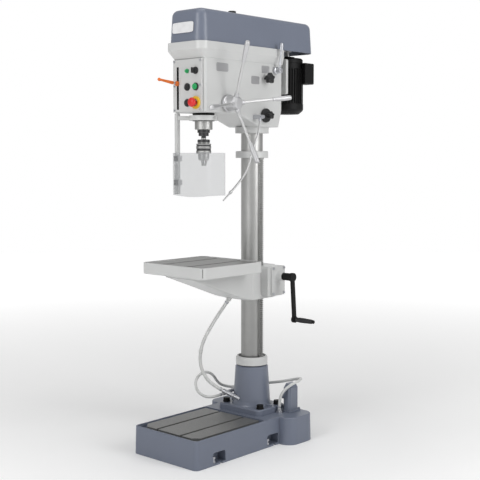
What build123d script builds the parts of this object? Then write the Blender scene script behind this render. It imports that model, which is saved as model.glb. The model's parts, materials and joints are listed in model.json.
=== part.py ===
from build123d import *
from math import atan2, cos, degrees, hypot, pi, radians, sin, sqrt, tan
import os

# Floor-standing column drill press. Millimetres. +Z up, the origin is on the floor at the
# column's axis, the operator stands at -Y, and the feed handles are on +X.

# Clearances
run_gap = 0.05        # radial clearance of a shaft or slide that moves
slip_gap = 0.3        # between pieces that pass each other
seat_gap = 0.02       # radial clearance of a fixed round seat

# Base casting
base_half = 195.0
base_front = -565.0
base_height = 124.0
base_draft = 1.5
base_corner = 22.0
rear_half = 262.0
rear_start = -32.0
rear_end = 150.0
rear_corner = 55.0
base_wall = 12.0
rim_wall = 9.0
gutter_width = 20.0
gutter_depth = 18.0
bed_back = -139.0
bed_chamfer = 30.0
slot_offset = 73.0
slot_width = 14.0
slot_foot_width = 24.0
slot_foot_height = 9.0
slot_depth = 24.0
pocket_width = 76.0
pocket_depth = 45.0
pocket_floor = 8.0
pocket_top = 55.0
anchor_x = 165.0
anchor_y_front = -425.0
anchor_y_rear = -75.0
anchor_r = 8.0
level_y_shift = -22.0
level_x = 178.0
level_r = 6.0
bolt_head_share = 1.6        # hexagon head over flats, as a multiple of the shank

# Column and its foot
column_r = 50.0
column_wall = 8.0
column_top = 1650.0
flange_x = 128.0
flange_y = 97.0
flange_top = 152.0
foot_top = 335.0
foot_top_r = 75.0
foot_base_r = 86.0
foot_bolt_x = 104.0
foot_bolt_y = 60.0
foot_bolt_r = 9.0
ring_r = 74.0
ring_height = 38.0
ring_groove = 12.0
lower_ring_z = 340.0
upper_ring_z = 1294.0

# Rack and its drive
rack_face = 62.0
rack_width = 24.0
rack_module = 3.0
rack_teeth = 94
pinion_teeth = 12
pinion_width = 22.0
pinion_z = 718.0
worm_y = 31.0
worm_wheel_r = 30.0
worm_wheel_width = 12.0
worm_r = 9.7
worm_shaft_r = 8.0

# Table and its bracket
table_half = 188.0
table_front = -517.0
table_back = -133.0
table_bottom = 791.7
table_top = 840.9
table_corner = 26.0
table_rim = 6.0
table_gutter = 13.0
table_gutter_depth = 9.0
table_surface_drop = 2.5
sleeve_half = 88.0
sleeve_bottom = 655.0
sleeve_top = 803.0
arm_front = -470.0
arm_front_z = 780.0
arm_knee_y = -165.0
arm_knee_z = 669.0
housing_x = 128.0
housing_y0 = -15.0
housing_y1 = 77.0
housing_z0 = 670.0
housing_wall = 14.0
cover_plate = 8.0
boss_r = 24.0
boss_end = 165.0
crank_end = 200.0
crank_radius = 190.0
crank_arm_x = 222.0
grip_length = 96.0
grip_r = 10.5
grip_pin_r = 5.0

# Head casting
head_half = 95.0
head_front = -402.0
head_rear = 94.0
head_bottom = 1487.0
head_slope_y0 = -200.0
head_slope_y1 = -60.0
head_low = 1433.0
head_top = 1715.0
head_wall = 12.0
socket_r = 77.0
socket_bottom = 1406.0
panel_thickness = 8.0
panel_left = -91.0
panel_right = 82.0
panel_bottom = 1490.0
panel_top = 1712.0
tray_flare_top = 1748.0
tray_top = 1782.0
tray_half = 112.0
tray_rear = 118.0
cover_half = 104.0
cover_front = -436.0
cover_rear = 331.0
cover_top = 1921.0
cover_draft = 3.6
cover_corner = 45.0
cover_edge = 30.0
cover_wall = 3.0
cover_knob_y = -134.0

# Spindle and quill
spindle_y = -316.0
quill_r = 38.5
quill_bottom = 1416.0
quill_top = 1700.0
quill_bore = 24.0
nose_r = 47.5
nose_bottom = 1453.0
spindle_r = 17.0
drive_r = 12.0
spindle_top = 1893.0
nut_r = 27.0
nut_bottom = 1391.0
chuck_top = 1374.0
chuck_shoulder = 1361.0
chuck_sleeve_r = 32.5
chuck_sleeve_bottom = 1312.0
chuck_core_r = 24.5
chuck_bottom = 1283.0
jaw_r = 4.5
jaw_tip_z = 1261.0
jaw_tip_offset = 7.0
jaw_top_z = 1322.0
jaw_lean = 10.0
feed_module = 2.0
feed_teeth = 14
feed_z = 1527.0
feed_width = 20.0
feed_flat = 36.0             # spindle axis to the tips of the quill's rack
feed_shaft_r = 10.0
feed_hub_r = 35.0
feed_hub_x0 = 97.0
feed_hub_x1 = 166.0
spoke_start_x = 140.0
spoke_length = 275.0
spoke_r = 6.0
spoke_lean = 21.8
spoke_phase = 7.0
feed_grip_r = 11.0
feed_grip_length = 92.0

# Controls: knobs on the head's sides, then the front panel
clamp_y, clamp_z = -20.0, 1648.0
lever_y, lever_z = 50.0, 1687.0
tap_y, tap_z = -19.0, 1484.0
quill_lock_y, quill_lock_z = spindle_y, 1508.0
button_y = head_front - panel_thickness
left_column, right_column = -3.0, 47.0
button_rows = (1662.0, 1595.0, 1528.0)
slot_x, slot_z0, slot_z1, slot_half = -62.0, 1502.0, 1680.0, 5.0
stop_z = 1612.0

# Chip guard
guard_x, guard_y = -84.0, -393.0
guard_bottom = 1137.0
guard_ring_r = 63.0
shield_front = -405.0
shield_left, shield_right = -100.0, 116.0
shield_wing = 100.0
shield_flare = 30.0
shield_z0, shield_z1 = 1128.0, 1316.0
shield_thick = 4.0

# Belt drive and motor
pulley_bottom = 1800.0
pulley_step = 20.0
pulley_radii_spindle = (62.0, 54.0, 46.0, 38.0)
pulley_radii_motor = (34.0, 42.0, 50.0, 58.0)
belt_step = 1
belt_depth = 7.0
belt_height = 10.0
motor_y = 252.0
motor_r = 70.0
motor_fin = 6.0
motor_bottom = 1540.0
motor_top = 1768.0
cowl_bottom = 1500.0
plate_y0 = 131.0
plate_thickness = 15.0
plate_z0 = 1586.0
plate_z1 = 1746.0
rail_r = 9.0
rail_x = 52.0
rail_z0 = 1612.0
rail_z1 = 1690.0

# Coolant system
pump_x = 160.0
pump_y = 92.0
pump_half_x = 22.0
pump_half_y = 34.0
pump_top = 256.0
spout_length = 90.0
drain_r = 8.0
supply_r = 6.5
nozzle_r = 4.5

# Each route is a list of points that the hose bends past. The drain hose hangs from the table
# bracket and ends in the foot's return spout.
drain_route = [(-45, -113, 644), (-64, -124, 610), (-90, -140, 566), (-118, -156, 512),
               (-146, -168, 458), (-166, -172, 402), (-174, -168, 350), (-168, -158, 300),
               (-146, -143, 258), (-112, -126, 231), (-80, -112, 217)]
supply_route = [(144, 30, 140), (144, 30, 166), (150, 28, 196), (163, 34, 226), (182, 52, 250),
                (196, 82, 264), (195, 119, 269), (177, 149, 269), (142, 170, 259), (95, 173, 245),
                (51, 151, 233), (2, 136, 224), (-50, 122, 213), (-98, 96, 202), (-143, 66, 192),
                (-182, 25, 194), (-195, -23, 217), (-184, -71, 272), (-192, -112, 290),
                (-199, -154, 277), (-195, -180, 245), (-175, -184, 207), (-142, -165, 184),
                (-113, -125, 184), (-104, -86, 192)]
nozzle_route = [(128, -92, 1457), (128, -92, 1424), (125, -118, 1366), (121, -138, 1310),
                (115, -150, 1262), (104, -168, 1218), (90, -202, 1175), (76, -238, 1136),
                (64, -262, 1108)]


def x_cylinder(radius, x0, x1, y, z):
    """A cylinder along +X from x0 to x1."""
    return Pos((x0 + x1) / 2, y, z) * Rot(0, 90, 0) * Cylinder(radius, x1 - x0)


def y_cylinder(radius, y0, y1, x, z):
    """A cylinder along +Y from y0 to y1."""
    return Pos(x, (y0 + y1) / 2, z) * Rot(90, 0, 0) * Cylinder(radius, y1 - y0)


def z_cylinder(radius, z0, z1, x=0.0, y=0.0):
    """A cylinder along +Z from z0 to z1."""
    return Pos(x, y, (z0 + z1) / 2) * Cylinder(radius, z1 - z0)


def block(x0, x1, y0, y1, z0, z1):
    """A box between two corners."""
    return Pos((x0 + x1) / 2, (y0 + y1) / 2, (z0 + z1) / 2) * Box(x1 - x0, y1 - y0, z1 - z0)


def turned(profile, x=0.0, y=0.0):
    """A body turned about a vertical axis, from (radius, z) points."""
    face = make_face(Polyline(*profile, close=True))
    return Pos(x, y, 0) * revolve(Plane.XZ * face, Axis.Z)


def turned_x(profile, y, z):
    """A body turned about an axis along X, from (x, radius) points."""
    face = make_face(Polyline(*profile, close=True))
    return Pos(0, y, z) * revolve(face, Axis.X)


def hexagon(radius, z0, z1, x, y):
    """A hexagon head between two heights."""
    shape = RegularPolygon(radius, 6, major_radius=False)
    return Pos(x, y, z0) * extrude(shape, z1 - z0)


def rounded(x0, x1, y0, y1, radius):
    """A rectangle with round corners, in the XY plane."""
    return Pos((x0 + x1) / 2, (y0 + y1) / 2) * RectangleRounded(x1 - x0, y1 - y0, radius)


def gear(module, teeth, width, backlash=0.25):
    """A spur gear about Z with one tooth on +X and straight-flanked teeth."""
    pitch = module * teeth / 2
    half = pi / (2 * teeth) * (1 - backlash)
    body = Circle(pitch - 1.25 * module)
    root_w = pitch * half * 1.75
    mid_w = pitch * half
    tip_w = pitch * half * 0.42
    tooth = Polygon((pitch - 1.6 * module, -root_w), (pitch, -mid_w),
                    (pitch + 0.85 * module, -tip_w), (pitch + 0.85 * module, tip_w),
                    (pitch, mid_w), (pitch - 1.6 * module, root_w), align=None)
    outline = body
    for k in range(teeth):
        outline += Rot(0, 0, 360 * k / teeth) * tooth
    return extrude(outline, width / 2, both=True)


def rack_spaces(module, indices, width, backlash=0.12):
    """The spaces between a rack's teeth: the tips lie on x = 0, the teeth face +X, Z runs along."""
    space_mouth = pi * module / 2 * (1 + backlash) + 2 * module * tan(radians(20))
    space_floor = space_mouth - 2 * 2.25 * module * tan(radians(20))
    deep = 2.25 * module
    outline = Polygon((1, -space_mouth / 2 - 0.36), (1, space_mouth / 2 + 0.36),
                      (-deep, space_floor / 2), (-deep, -space_floor / 2), align=None)
    cutter = extrude(Plane.XZ * outline, width / 2, both=True)
    return [Pos(0, 0, pi * module * k) * cutter for k in indices]


def hose(route, radius, name):
    """A round hose along straight runs joined by tangent arcs."""
    points = [Vector(*p) for p in route]
    radii = []
    for a, b, c in zip(points, points[1:], points[2:]):
        turn = (b - a).get_angle(c - b)
        shorter = min((b - a).length, (c - b).length)
        radii.append(0.45 * shorter / tan(radians(turn) / 2))
    path = FilletPolyline(*points, radius=radii)
    section = Plane(origin=path @ 0, z_dir=path % 0) * Circle(radius)
    solid = sweep(section, path=path)
    print(name, "length", round(path.length), "volume/expected",
          round(solid.volume / (path.length * pi * radius**2), 3))
    print("  radii", [round(r) for r in radii])
    return solid


def save(shape, node):
    """Writes one node as STEP."""
    export_step(Compound(children=list(shape.solids())) if len(shape.solids()) > 1
                else shape.solids()[0], f"parts/{node}.step")


def t_slot(y0, y1, top, x):
    """The cutter of one T-slot along Y."""
    neck = block(x - slot_width / 2, x + slot_width / 2, y0, y1, top - slot_depth, top + 1)
    foot = block(x - slot_foot_width / 2, x + slot_foot_width / 2, y0, y1,
                 top - slot_depth, top - slot_depth + slot_foot_height)
    return neck + foot


def base_casting():
    front = extrude(rounded(-base_half, base_half, base_front, 0, base_corner),
                    base_height, taper=base_draft)
    rear = extrude(rounded(-rear_half, rear_half, rear_start, rear_end, rear_corner),
                   base_height, taper=base_draft)
    body = front + rear
    body = fillet(body.edges().group_by(Axis.Z)[-1], 4)
    inner = base_half - rim_wall
    gutter_y0 = base_front + rim_wall
    gutter_y1 = bed_back + gutter_width
    basin = extrude(rounded(-inner, inner, gutter_y0, gutter_y1, base_corner - rim_wall),
                    gutter_depth + 1)
    bed_half = inner - gutter_width
    bed = extrude(Rectangle(2 * bed_half, bed_back - gutter_y0 - gutter_width), gutter_depth + 2)
    bed = Pos(0, (bed_back + gutter_y0 + gutter_width) / 2, 0) * bed
    corners = bed.edges().filter_by(Axis.Z).sort_by(Axis.Y)[:2]
    bed = chamfer(corners, bed_chamfer)
    body -= Pos(0, 0, base_height - gutter_depth) * (basin - bed)
    slot_y0 = gutter_y0 + gutter_width - 2
    for x in (-slot_offset, slot_offset):
        body -= t_slot(slot_y0, bed_back + 2, base_height, x)
    roof = base_height - gutter_depth - slot_foot_height - base_wall
    hollow = block(-base_half + base_wall + 4, base_half - base_wall - 4,
                   base_front + base_wall + 4, rear_start - base_wall, -1, roof - 8)
    hollow += extrude(rounded(-rear_half + base_wall + 4, rear_half - base_wall - 4,
                              rear_start + base_wall, rear_end - base_wall - 4,
                              rear_corner - base_wall), roof)
    for side in (-1, 1):
        for y in (anchor_y_front, anchor_y_rear):
            reach = base_half - pocket_depth - base_wall
            half = pocket_width / 2 + base_wall
            hollow -= block(min(side * reach, side * base_half), max(side * reach, side * base_half),
                            y - half, y + half, -2, pocket_top + base_wall)
    hollow -= z_cylinder(column_r + 20, -2, roof + 1)
    body -= hollow
    for side in (-1, 1):
        for y in (anchor_y_front, anchor_y_rear):
            x0, x1 = sorted((side * (base_half - pocket_depth), side * (base_half + 10)))
            pocket = block(x0, x1, y - pocket_width / 2, y + pocket_width / 2,
                           pocket_floor, pocket_top)
            pocket = fillet(pocket.edges().filter_by(Axis.X).group_by(Axis.Z)[-1], 10)
            body -= pocket
            body -= z_cylinder(anchor_r, -1, pocket_floor + 1, side * anchor_x, y)
            body -= z_cylinder(level_r + run_gap, -1, pocket_floor + 1, side * level_x,
                               y + level_y_shift)
            n0, n1 = sorted((side * (base_half - 12), side * (base_half + 10)))
            body -= block(n0, n1, y + 4, y + 18, -1, pocket_floor + 1)
    for x in (-1, 1):
        for y in (-1, 1):
            body -= z_cylinder(foot_bolt_r - 1, base_height - 22, base_height + 1,
                               x * foot_bolt_x, y * foot_bolt_y)
    return body


def levelling_bolts():
    group = []
    for side in (-1, 1):
        for y in (anchor_y_front, anchor_y_rear):
            x, y = side * level_x, y + level_y_shift
            head = hexagon(level_r * bolt_head_share, 26, 34, x, y)
            nut = hexagon(level_r * bolt_head_share, pocket_floor, pocket_floor + 9, x, y)
            group.append(z_cylinder(level_r, 0, 27, x, y) + head + nut)
    return Compound(children=group)


def foot_cone():
    """The foot's tapering neck."""
    return turned([(0, flange_top - 6), (foot_base_r + 9, flange_top - 6),
                   (foot_base_r + 3, flange_top + 6), (foot_base_r, flange_top + 20),
                   (foot_top_r + 1, foot_top - 6), (foot_top_r - 5, foot_top), (0, foot_top)])


def column_foot():
    plate = extrude(RectangleRounded(2 * flange_x, 2 * flange_y, 24), flange_top - base_height)
    plate = chamfer(plate.edges().group_by(Axis.Z)[-1], 5)
    body = Pos(0, 0, base_height) * plate
    body += foot_cone()
    for x in (-1, 1):
        rib = block(min(x * 60, x * (flange_x - 8)), max(x * 60, x * (flange_x - 8)), -7, 7,
                    flange_top - 6, flange_top + 10)
        body += rib
    for x in (-1, 1):
        for y in (-1, 1):
            body -= z_cylinder(foot_bolt_r + 1, base_height - 1, flange_top + 1,
                               x * foot_bolt_x, y * foot_bolt_y)
    body -= z_cylinder(column_r + seat_gap, base_height - 1, foot_top + 1)
    return body


def foot_bolts():
    group = []
    for x in (-1, 1):
        for y in (-1, 1):
            px, py = x * foot_bolt_x, y * foot_bolt_y
            washer = z_cylinder(foot_bolt_r * 1.9, flange_top, flange_top + 4, px, py)
            head = hexagon(foot_bolt_r * bolt_head_share, flange_top + 4, flange_top + 18, px, py)
            shank = z_cylinder(foot_bolt_r - 1 - seat_gap, base_height - 20, flange_top + 5, px, py)
            group.append(washer + head + shank)
    return Compound(children=group)


def column():
    tube = z_cylinder(column_r, base_height, column_top)
    return tube - z_cylinder(column_r - column_wall, base_height - 1, column_top + 1)


def rack_rings():
    bore = column_r + seat_gap
    groove = hypot(rack_face, rack_width / 2) + slip_gap
    lower = turned([(bore, lower_ring_z), (ring_r, lower_ring_z),
                    (ring_r, lower_ring_z + ring_height - 8), (ring_r - 5, lower_ring_z + ring_height),
                    (groove, lower_ring_z + ring_height),
                    (groove, lower_ring_z + ring_height - ring_groove),
                    (bore, lower_ring_z + ring_height - ring_groove)])
    top = upper_ring_z + ring_height - 7
    upper = turned([(bore, upper_ring_z + ring_groove), (groove, upper_ring_z + ring_groove),
                    (groove, upper_ring_z), (ring_r + 1, upper_ring_z), (ring_r + 1, top - 3),
                    (ring_r - 2, top), (bore, top)])
    return Compound(children=[lower, upper])


def rack():
    z0 = lower_ring_z + ring_height - ring_groove + slip_gap
    z1 = upper_ring_z + ring_groove - slip_gap
    bar = block(column_r - 8, rack_face, -rack_width / 2, rack_width / 2, z0, z1)
    bar -= z_cylinder(column_r + run_gap, z0 - 1, z1 + 1)
    low = int((pinion_z - z0) // (pi * rack_module)) - 2
    high = int((z1 - pinion_z) // (pi * rack_module)) - 2
    indices = range(-min(low, rack_teeth // 2), min(high, rack_teeth) + 1)
    return bar - [Pos(rack_face, 0, pinion_z) * s
                  for s in rack_spaces(rack_module, indices, rack_width + 2)]


def pinion_x():
    """The rack pinion's axis lies one pitch radius outside the rack's pitch line."""
    return rack_face - rack_module + rack_module * pinion_teeth / 2


def rack_pinion():
    x = pinion_x()
    wheel = gear(rack_module, pinion_teeth, pinion_width)
    wheel = Pos(x, 0, pinion_z) * Rot(0, 0, 180) * Rot(90, 0, 0) * wheel
    shaft = y_cylinder(7, housing_y0 - 16, housing_y1 - 1, x, pinion_z)
    worm_wheel = y_cylinder(worm_wheel_r, worm_y - worm_wheel_width / 2,
                            worm_y + worm_wheel_width / 2, x, pinion_z)
    for k in range(24):
        angle = radians(15 * k)
        px = x + worm_wheel_r * cos(angle)
        pz = pinion_z + worm_wheel_r * sin(angle)
        worm_wheel -= y_cylinder(2.2, worm_y - worm_wheel_width, worm_y + worm_wheel_width, px, pz)
    return wheel + shaft + worm_wheel


def worm_z():
    """The worm lies on top of its wheel."""
    return pinion_z + worm_wheel_r + worm_r + slip_gap


def table_bracket():
    sleeve = extrude(rounded(-sleeve_half, sleeve_half, -sleeve_half - 30, sleeve_half, 40),
                     sleeve_top - sleeve_bottom)
    sleeve = Pos(0, 0, sleeve_bottom) * sleeve
    side = Polygon((-40, sleeve_bottom), (-120, sleeve_bottom + 2), (arm_knee_y, arm_knee_z),
                   (arm_front, arm_front_z), (arm_front, table_bottom), (-40, table_bottom),
                   align=None)
    arm = extrude(Plane.YZ * side, sleeve_half - 3, both=True)
    long_edges = arm.edges().filter_by(lambda e: abs(e.center().X) > 80 and e.center().Z < 770)
    arm = fillet(long_edges.filter_by(lambda e: e.length > 60), 9)
    housing = block(60, housing_x, housing_y0 - 22, housing_y1 + 3, housing_z0 - 3, sleeve_top)
    housing = fillet(housing.edges().filter_by(Axis.X), 12)
    body = sleeve + arm + housing
    body -= block(-sleeve_half - 5, sleeve_half + 5, -300, table_back + 1, table_bottom,
                  sleeve_top + 5)
    body -= z_cylinder(column_r + run_gap, sleeve_bottom - 1, sleeve_top + 1)
    body -= block(0, rack_face + slip_gap, -rack_width / 2 - slip_gap, rack_width / 2 + slip_gap,
                  sleeve_bottom - 1, sleeve_top + 1)
    x = pinion_x()
    reach = worm_wheel_r + 1.5
    body -= block(rack_face - 1, housing_x + 1, housing_y0 + 1, housing_y1 - housing_wall,
                  housing_z0 + housing_wall, sleeve_top - housing_wall)
    body -= y_cylinder(reach, worm_y - worm_wheel_width / 2 - 1,
                       worm_y + worm_wheel_width / 2 + 1, x, pinion_z)
    body -= y_cylinder(7 + run_gap, housing_y0 - 17, housing_y1, x, pinion_z)
    body -= x_cylinder(6 + run_gap, rack_face - 10, rack_face, worm_y, worm_z())
    for y, z in cover_screw_places():
        body -= x_cylinder(2.5, housing_x - 12, housing_x + 1, y, z)
    return body + nipple(drain_route, drain_r + 3, 30)


def nipple(route, radius, length):
    """A round nose whose face meets the first face of a hose."""
    start, after = Vector(*route[0]), Vector(*route[1])
    return Plane(origin=start, z_dir=start - after) * Pos(0, 0, length / 2) * Cylinder(radius, length)


def cover_screw_places():
    """The gearbox cover's screws, in from its corners."""
    inset = 9
    return [(y, z) for y in (housing_y0 + inset, housing_y1 - inset)
            for z in (housing_z0 + inset, sleeve_top - inset)]


def gearbox_cover():
    x1 = housing_x + cover_plate
    plate = block(housing_x, x1, housing_y0, housing_y1, housing_z0, sleeve_top)
    plate = fillet(plate.edges().filter_by(Axis.X), 8)
    plate = chamfer(plate.faces().sort_by(Axis.X)[-1].edges(), 1.5)
    boss = turned_x([(x1 - 1, 0), (x1 - 1, boss_r + 6), (x1 + 4, boss_r), (boss_end - 3, boss_r - 3),
                     (boss_end, boss_r - 6), (boss_end, 0)], worm_y, worm_z())
    body = plate + boss
    body -= x_cylinder(worm_shaft_r + run_gap, housing_x - 1, boss_end + 1, worm_y, worm_z())
    for y, z in cover_screw_places():
        body -= x_cylinder(3 + run_gap, housing_x - 1, x1 + 1, y, z)
    return body


def gearbox_screws():
    group = []
    for y, z in cover_screw_places():
        x1 = housing_x + cover_plate
        head = x_cylinder(5.5, x1, x1 + 5, y, z)
        head -= Pos(x1 + 5, y, z) * Rot(0, 90, 0) * extrude(RegularPolygon(2.5, 6), 3, both=True)
        group.append(x_cylinder(2.4, housing_x - 10, x1 + 1, y, z) + head)
    return Compound(children=group)


def worm_shaft():
    z = worm_z()
    worm = x_cylinder(worm_r, rack_face + 2, rack_face + 40, worm_y, z)
    shaft = x_cylinder(worm_shaft_r, rack_face + 38, crank_end + 18, worm_y, z)
    journal = x_cylinder(6, rack_face - 9, rack_face + 3, worm_y, z)
    return worm + shaft + journal


def crank_arm():
    z = worm_z()
    hub = turned_x([(boss_end + 1, 0), (boss_end + 1, 17), (crank_end + 14, 17),
                    (crank_end + 20, 14), (crank_end + 20, 0)], worm_y, z)
    half = 11
    path = [(crank_arm_x - 10, z), (crank_arm_x, z), (crank_arm_x + 3, z - 30),
            (crank_arm_x + 13, z - crank_radius), (crank_arm_x + 1, z - crank_radius),
            (crank_arm_x - 10, z - 30)]
    arm = extrude(Plane.XZ * Polygon(*path, align=None), half - 2, both=True)
    arm = Pos(0, worm_y, 0) * arm
    lower_eye = x_cylinder(15, crank_arm_x, crank_arm_x + 14, worm_y, z - crank_radius)
    upper_eye = x_cylinder(20, crank_arm_x - 12, crank_arm_x + 2, worm_y, z)
    pin = x_cylinder(grip_pin_r, crank_arm_x + 13, crank_arm_x + 14 + grip_length + 8, worm_y,
                     z - crank_radius)
    head = x_cylinder(8, crank_arm_x + 14 + grip_length + 3, crank_arm_x + 14 + grip_length + 8,
                      worm_y, z - crank_radius)
    body = hub + arm + lower_eye + upper_eye + pin + head
    return body - x_cylinder(worm_shaft_r + seat_gap, boss_end, crank_end + 19, worm_y, z)


def crank_grip():
    x0 = crank_arm_x + 15
    x1 = x0 + grip_length
    profile = [(x0, 0), (x0, grip_r - 2), (x0 + 3, grip_r), (x0 + 30, grip_r + 1.5),
               (x1 - 25, grip_r), (x1 - 3, grip_r - 0.5), (x1, grip_r - 3), (x1, 0)]
    body = turned_x(profile, worm_y, worm_z() - crank_radius)
    return body - x_cylinder(grip_pin_r + run_gap, x0 - 1, x1 + 1, worm_y, worm_z() - crank_radius)


def work_table():
    top = extrude(rounded(-table_half, table_half, table_front, table_back, table_corner),
                  table_top - table_bottom)
    body = Pos(0, 0, table_bottom) * top
    body = fillet(body.edges().group_by(Axis.Z)[0], 5)
    inner = table_half - table_rim
    front, back = table_front + table_rim, table_back - table_rim
    body -= Pos(0, 0, table_top - table_surface_drop) * extrude(
        rounded(-inner, inner, front, back, table_corner - table_rim), table_surface_drop + 1)
    trough = rounded(-inner, inner, front, back, table_corner - table_rim)
    island = rounded(-inner + table_gutter, inner - table_gutter, front + table_gutter,
                     back - table_gutter, 8)
    body -= Pos(0, 0, table_top - table_surface_drop - table_gutter_depth) * extrude(
        trough - island, table_gutter_depth + 1)
    surface = table_top - table_surface_drop
    for x in (-slot_offset, slot_offset):
        body -= t_slot(front + table_gutter - 2, back - table_gutter + 2, surface, x)
    for side in (-1, 1):
        x0, x1 = sorted((side * (sleeve_half + 14), side * (table_half - 12)))
        body -= block(x0, x1, table_front + 14, table_back - 14, table_bottom - 1,
                      table_bottom + 18)
    return body


def head_side():
    """The head's side outline in the YZ plane."""
    return Polygon((head_front, head_bottom), (head_slope_y0, head_bottom),
                   (head_slope_y1, head_low), (head_rear - 16, head_low), (head_rear, head_low + 55),
                   (head_rear, head_top), (head_front, head_top), align=None)


def head_casting():
    body = extrude(Plane.YZ * head_side(), head_half, both=True)
    front = body.edges().filter_by(Axis.Z).sort_by(Axis.Y)[:2]
    body = fillet(front, 8)
    lower = body.edges().filter_by(
        lambda e: abs(abs(e.center().X) - head_half) < 1 and e.center().Z < head_low + 60
        and e.length > 30)
    body = fillet(lower, 9)
    cavity = block(-head_half + head_wall, head_half - head_wall, head_front - 1,
                   head_rear - head_wall - 8, head_bottom + head_wall, head_top - head_wall)
    keep = z_cylinder(quill_r + 15, head_bottom, head_top, 0, spindle_y)
    keep += z_cylinder(column_r + 14, head_low, head_top)
    keep += x_cylinder(feed_shaft_r + 12, -head_half, head_half, feed_y(), feed_z)
    keep += y_cylinder(rail_r + 8, column_r, head_rear, rail_x, rail_z0)
    keep += y_cylinder(rail_r + 8, column_r, head_rear, rail_x, rail_z1)
    keep += y_cylinder(rail_r + 8, column_r, head_rear, -rail_x, rail_z0)
    keep += y_cylinder(rail_r + 8, column_r, head_rear, -rail_x, rail_z1)
    body -= cavity - keep
    body += z_cylinder(socket_r, socket_bottom, head_low + 2)
    body -= z_cylinder(column_r + seat_gap, socket_bottom - 1, column_top + 1)
    body -= z_cylinder(quill_r + run_gap, head_bottom - 1, quill_top + 2, 0, spindle_y)
    body -= z_cylinder(drive_r + 12, quill_top, head_top + 1, 0, spindle_y)
    body -= x_cylinder(feed_shaft_r + run_gap, -52, head_half + 1, feed_y(), feed_z)
    pinion_reach = feed_module * (feed_teeth / 2 + 1) + 1
    body -= x_cylinder(pinion_reach, -feed_width / 2 - 1, feed_width / 2 + 1, feed_y(), feed_z)
    for x in (-rail_x, rail_x):
        for z in (rail_z0, rail_z1):
            body -= y_cylinder(rail_r + run_gap, column_r + 14, head_rear + 1, x, z)
    for x, z in panel_screw_places():
        body -= y_cylinder(2, head_front - 1, head_front + 9, x, z)
    body -= x_cylinder(6 + run_gap, head_half - 14, head_half + 1, clamp_y, clamp_z)
    body -= x_cylinder(6 + run_gap, head_half - 14, head_half + 1, lever_y, lever_z)
    body -= x_cylinder(5 + run_gap, head_half - 14, head_half + 1, tap_y, tap_z)
    body -= x_cylinder(5 + run_gap, -head_half - 1, -quill_r, quill_lock_y, quill_lock_z)
    return body


def feed_y():
    """The feed shaft lies one pitch radius behind the quill rack's pitch line."""
    return spindle_y + feed_flat - feed_module + feed_module * feed_teeth / 2


def panel_screw_places():
    """The front panel's six screws."""
    return [(x, z) for x in (panel_left + 9, panel_right - 9)
            for z in (panel_bottom + 8, (panel_bottom + panel_top) / 2, panel_top - 8)]


def front_panel():
    body = block(panel_left, panel_right, button_y, head_front, panel_bottom, panel_top)
    body = chamfer(body.faces().sort_by(Axis.Y)[0].edges(), 1)
    body -= block(slot_x - slot_half, slot_x + slot_half, button_y - 1, head_front + 1,
                  slot_z0, slot_z1)
    holes = [(left_column, button_rows[0], 6), (right_column, button_rows[0], 6),
             (left_column, button_rows[1], 8), (right_column, button_rows[1], 8),
             (left_column, button_rows[2], 8), (right_column, button_rows[2], 8)]
    for x, z, r in holes:
        body -= y_cylinder(r + run_gap, button_y - 1, head_front + 1, x, z)
    for x, z in panel_screw_places():
        body -= y_cylinder(2.5 + run_gap, button_y - 1, head_front + 1, x, z)
    return body


def panel_screws():
    group = []
    for x, z in panel_screw_places():
        head = y_cylinder(4.5, button_y - 3, button_y, x, z)
        head -= Pos(x, button_y - 3, z) * Box(9, 2.4, 1.4)
        group.append(head + y_cylinder(1.9, button_y - 1, head_front + 8, x, z))
    return Compound(children=group)


def switch_bezels():
    group = []
    for x, z, r, inner in ((left_column, button_rows[1], 16, 13), (right_column, button_rows[1], 16, 13),
                           (left_column, button_rows[2], 16, 13), (right_column, button_rows[2], 27, 14),
                           (right_column, button_rows[0], 15, 7)):
        ring = y_cylinder(r, button_y - 6, button_y, x, z)
        ring = fillet(ring.faces().sort_by(Axis.Y)[0].edges(), 1.5)
        group.append(ring - y_cylinder(inner + slip_gap, button_y - 7, button_y + 1, x, z))
    return Compound(children=group)


def signal_lamp():
    x, z = left_column, button_rows[0]
    body = y_cylinder(10, button_y - 5, button_y, x, z)
    lens = Pos(x, button_y - 5, z) * Sphere(9)
    lens &= block(x - 20, x + 20, button_y - 14, button_y - 4, z - 20, z + 20)
    return body + lens + y_cylinder(6, button_y - 1, button_y + 30, x, z)


def push_button(x, z, cap_r, reach):
    """A round button whose stem passes through the panel."""
    cap = y_cylinder(cap_r, button_y - 6 - reach, button_y - 5, x, z)
    cap = fillet(cap.faces().sort_by(Axis.Y)[0].edges(), 2)
    return cap + y_cylinder(8, button_y - 6, head_front + 22, x, z)


def estop_button():
    x, z = right_column, button_rows[2]
    y = button_y - 38
    profile = [(button_y - 9, 0), (button_y - 9, 12), (button_y - 16, 13), (button_y - 22, 20),
               (button_y - 28, 20), (y + 3, 15), (y, 6), (y, 0)]
    face = make_face(Polyline(*[(r, -yy) for yy, r in profile], close=True))
    mushroom = Pos(x, 0, z) * (Rot(90, 0, 0) * revolve(Plane.XZ * face, Axis.Z))
    return mushroom + y_cylinder(8, button_y - 10, head_front + 22, x, z)


def selector_knob():
    x, z = right_column, button_rows[0]
    body = y_cylinder(12.5, button_y - 14, button_y - 6.5, x, z)
    handle = Pos(x, button_y - 18, z) * Box(8, 16, 24)
    handle = fillet(handle.edges().filter_by(Axis.Y), 3)
    return body + handle + y_cylinder(6, button_y - 7, head_front + 20, x, z)


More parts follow.
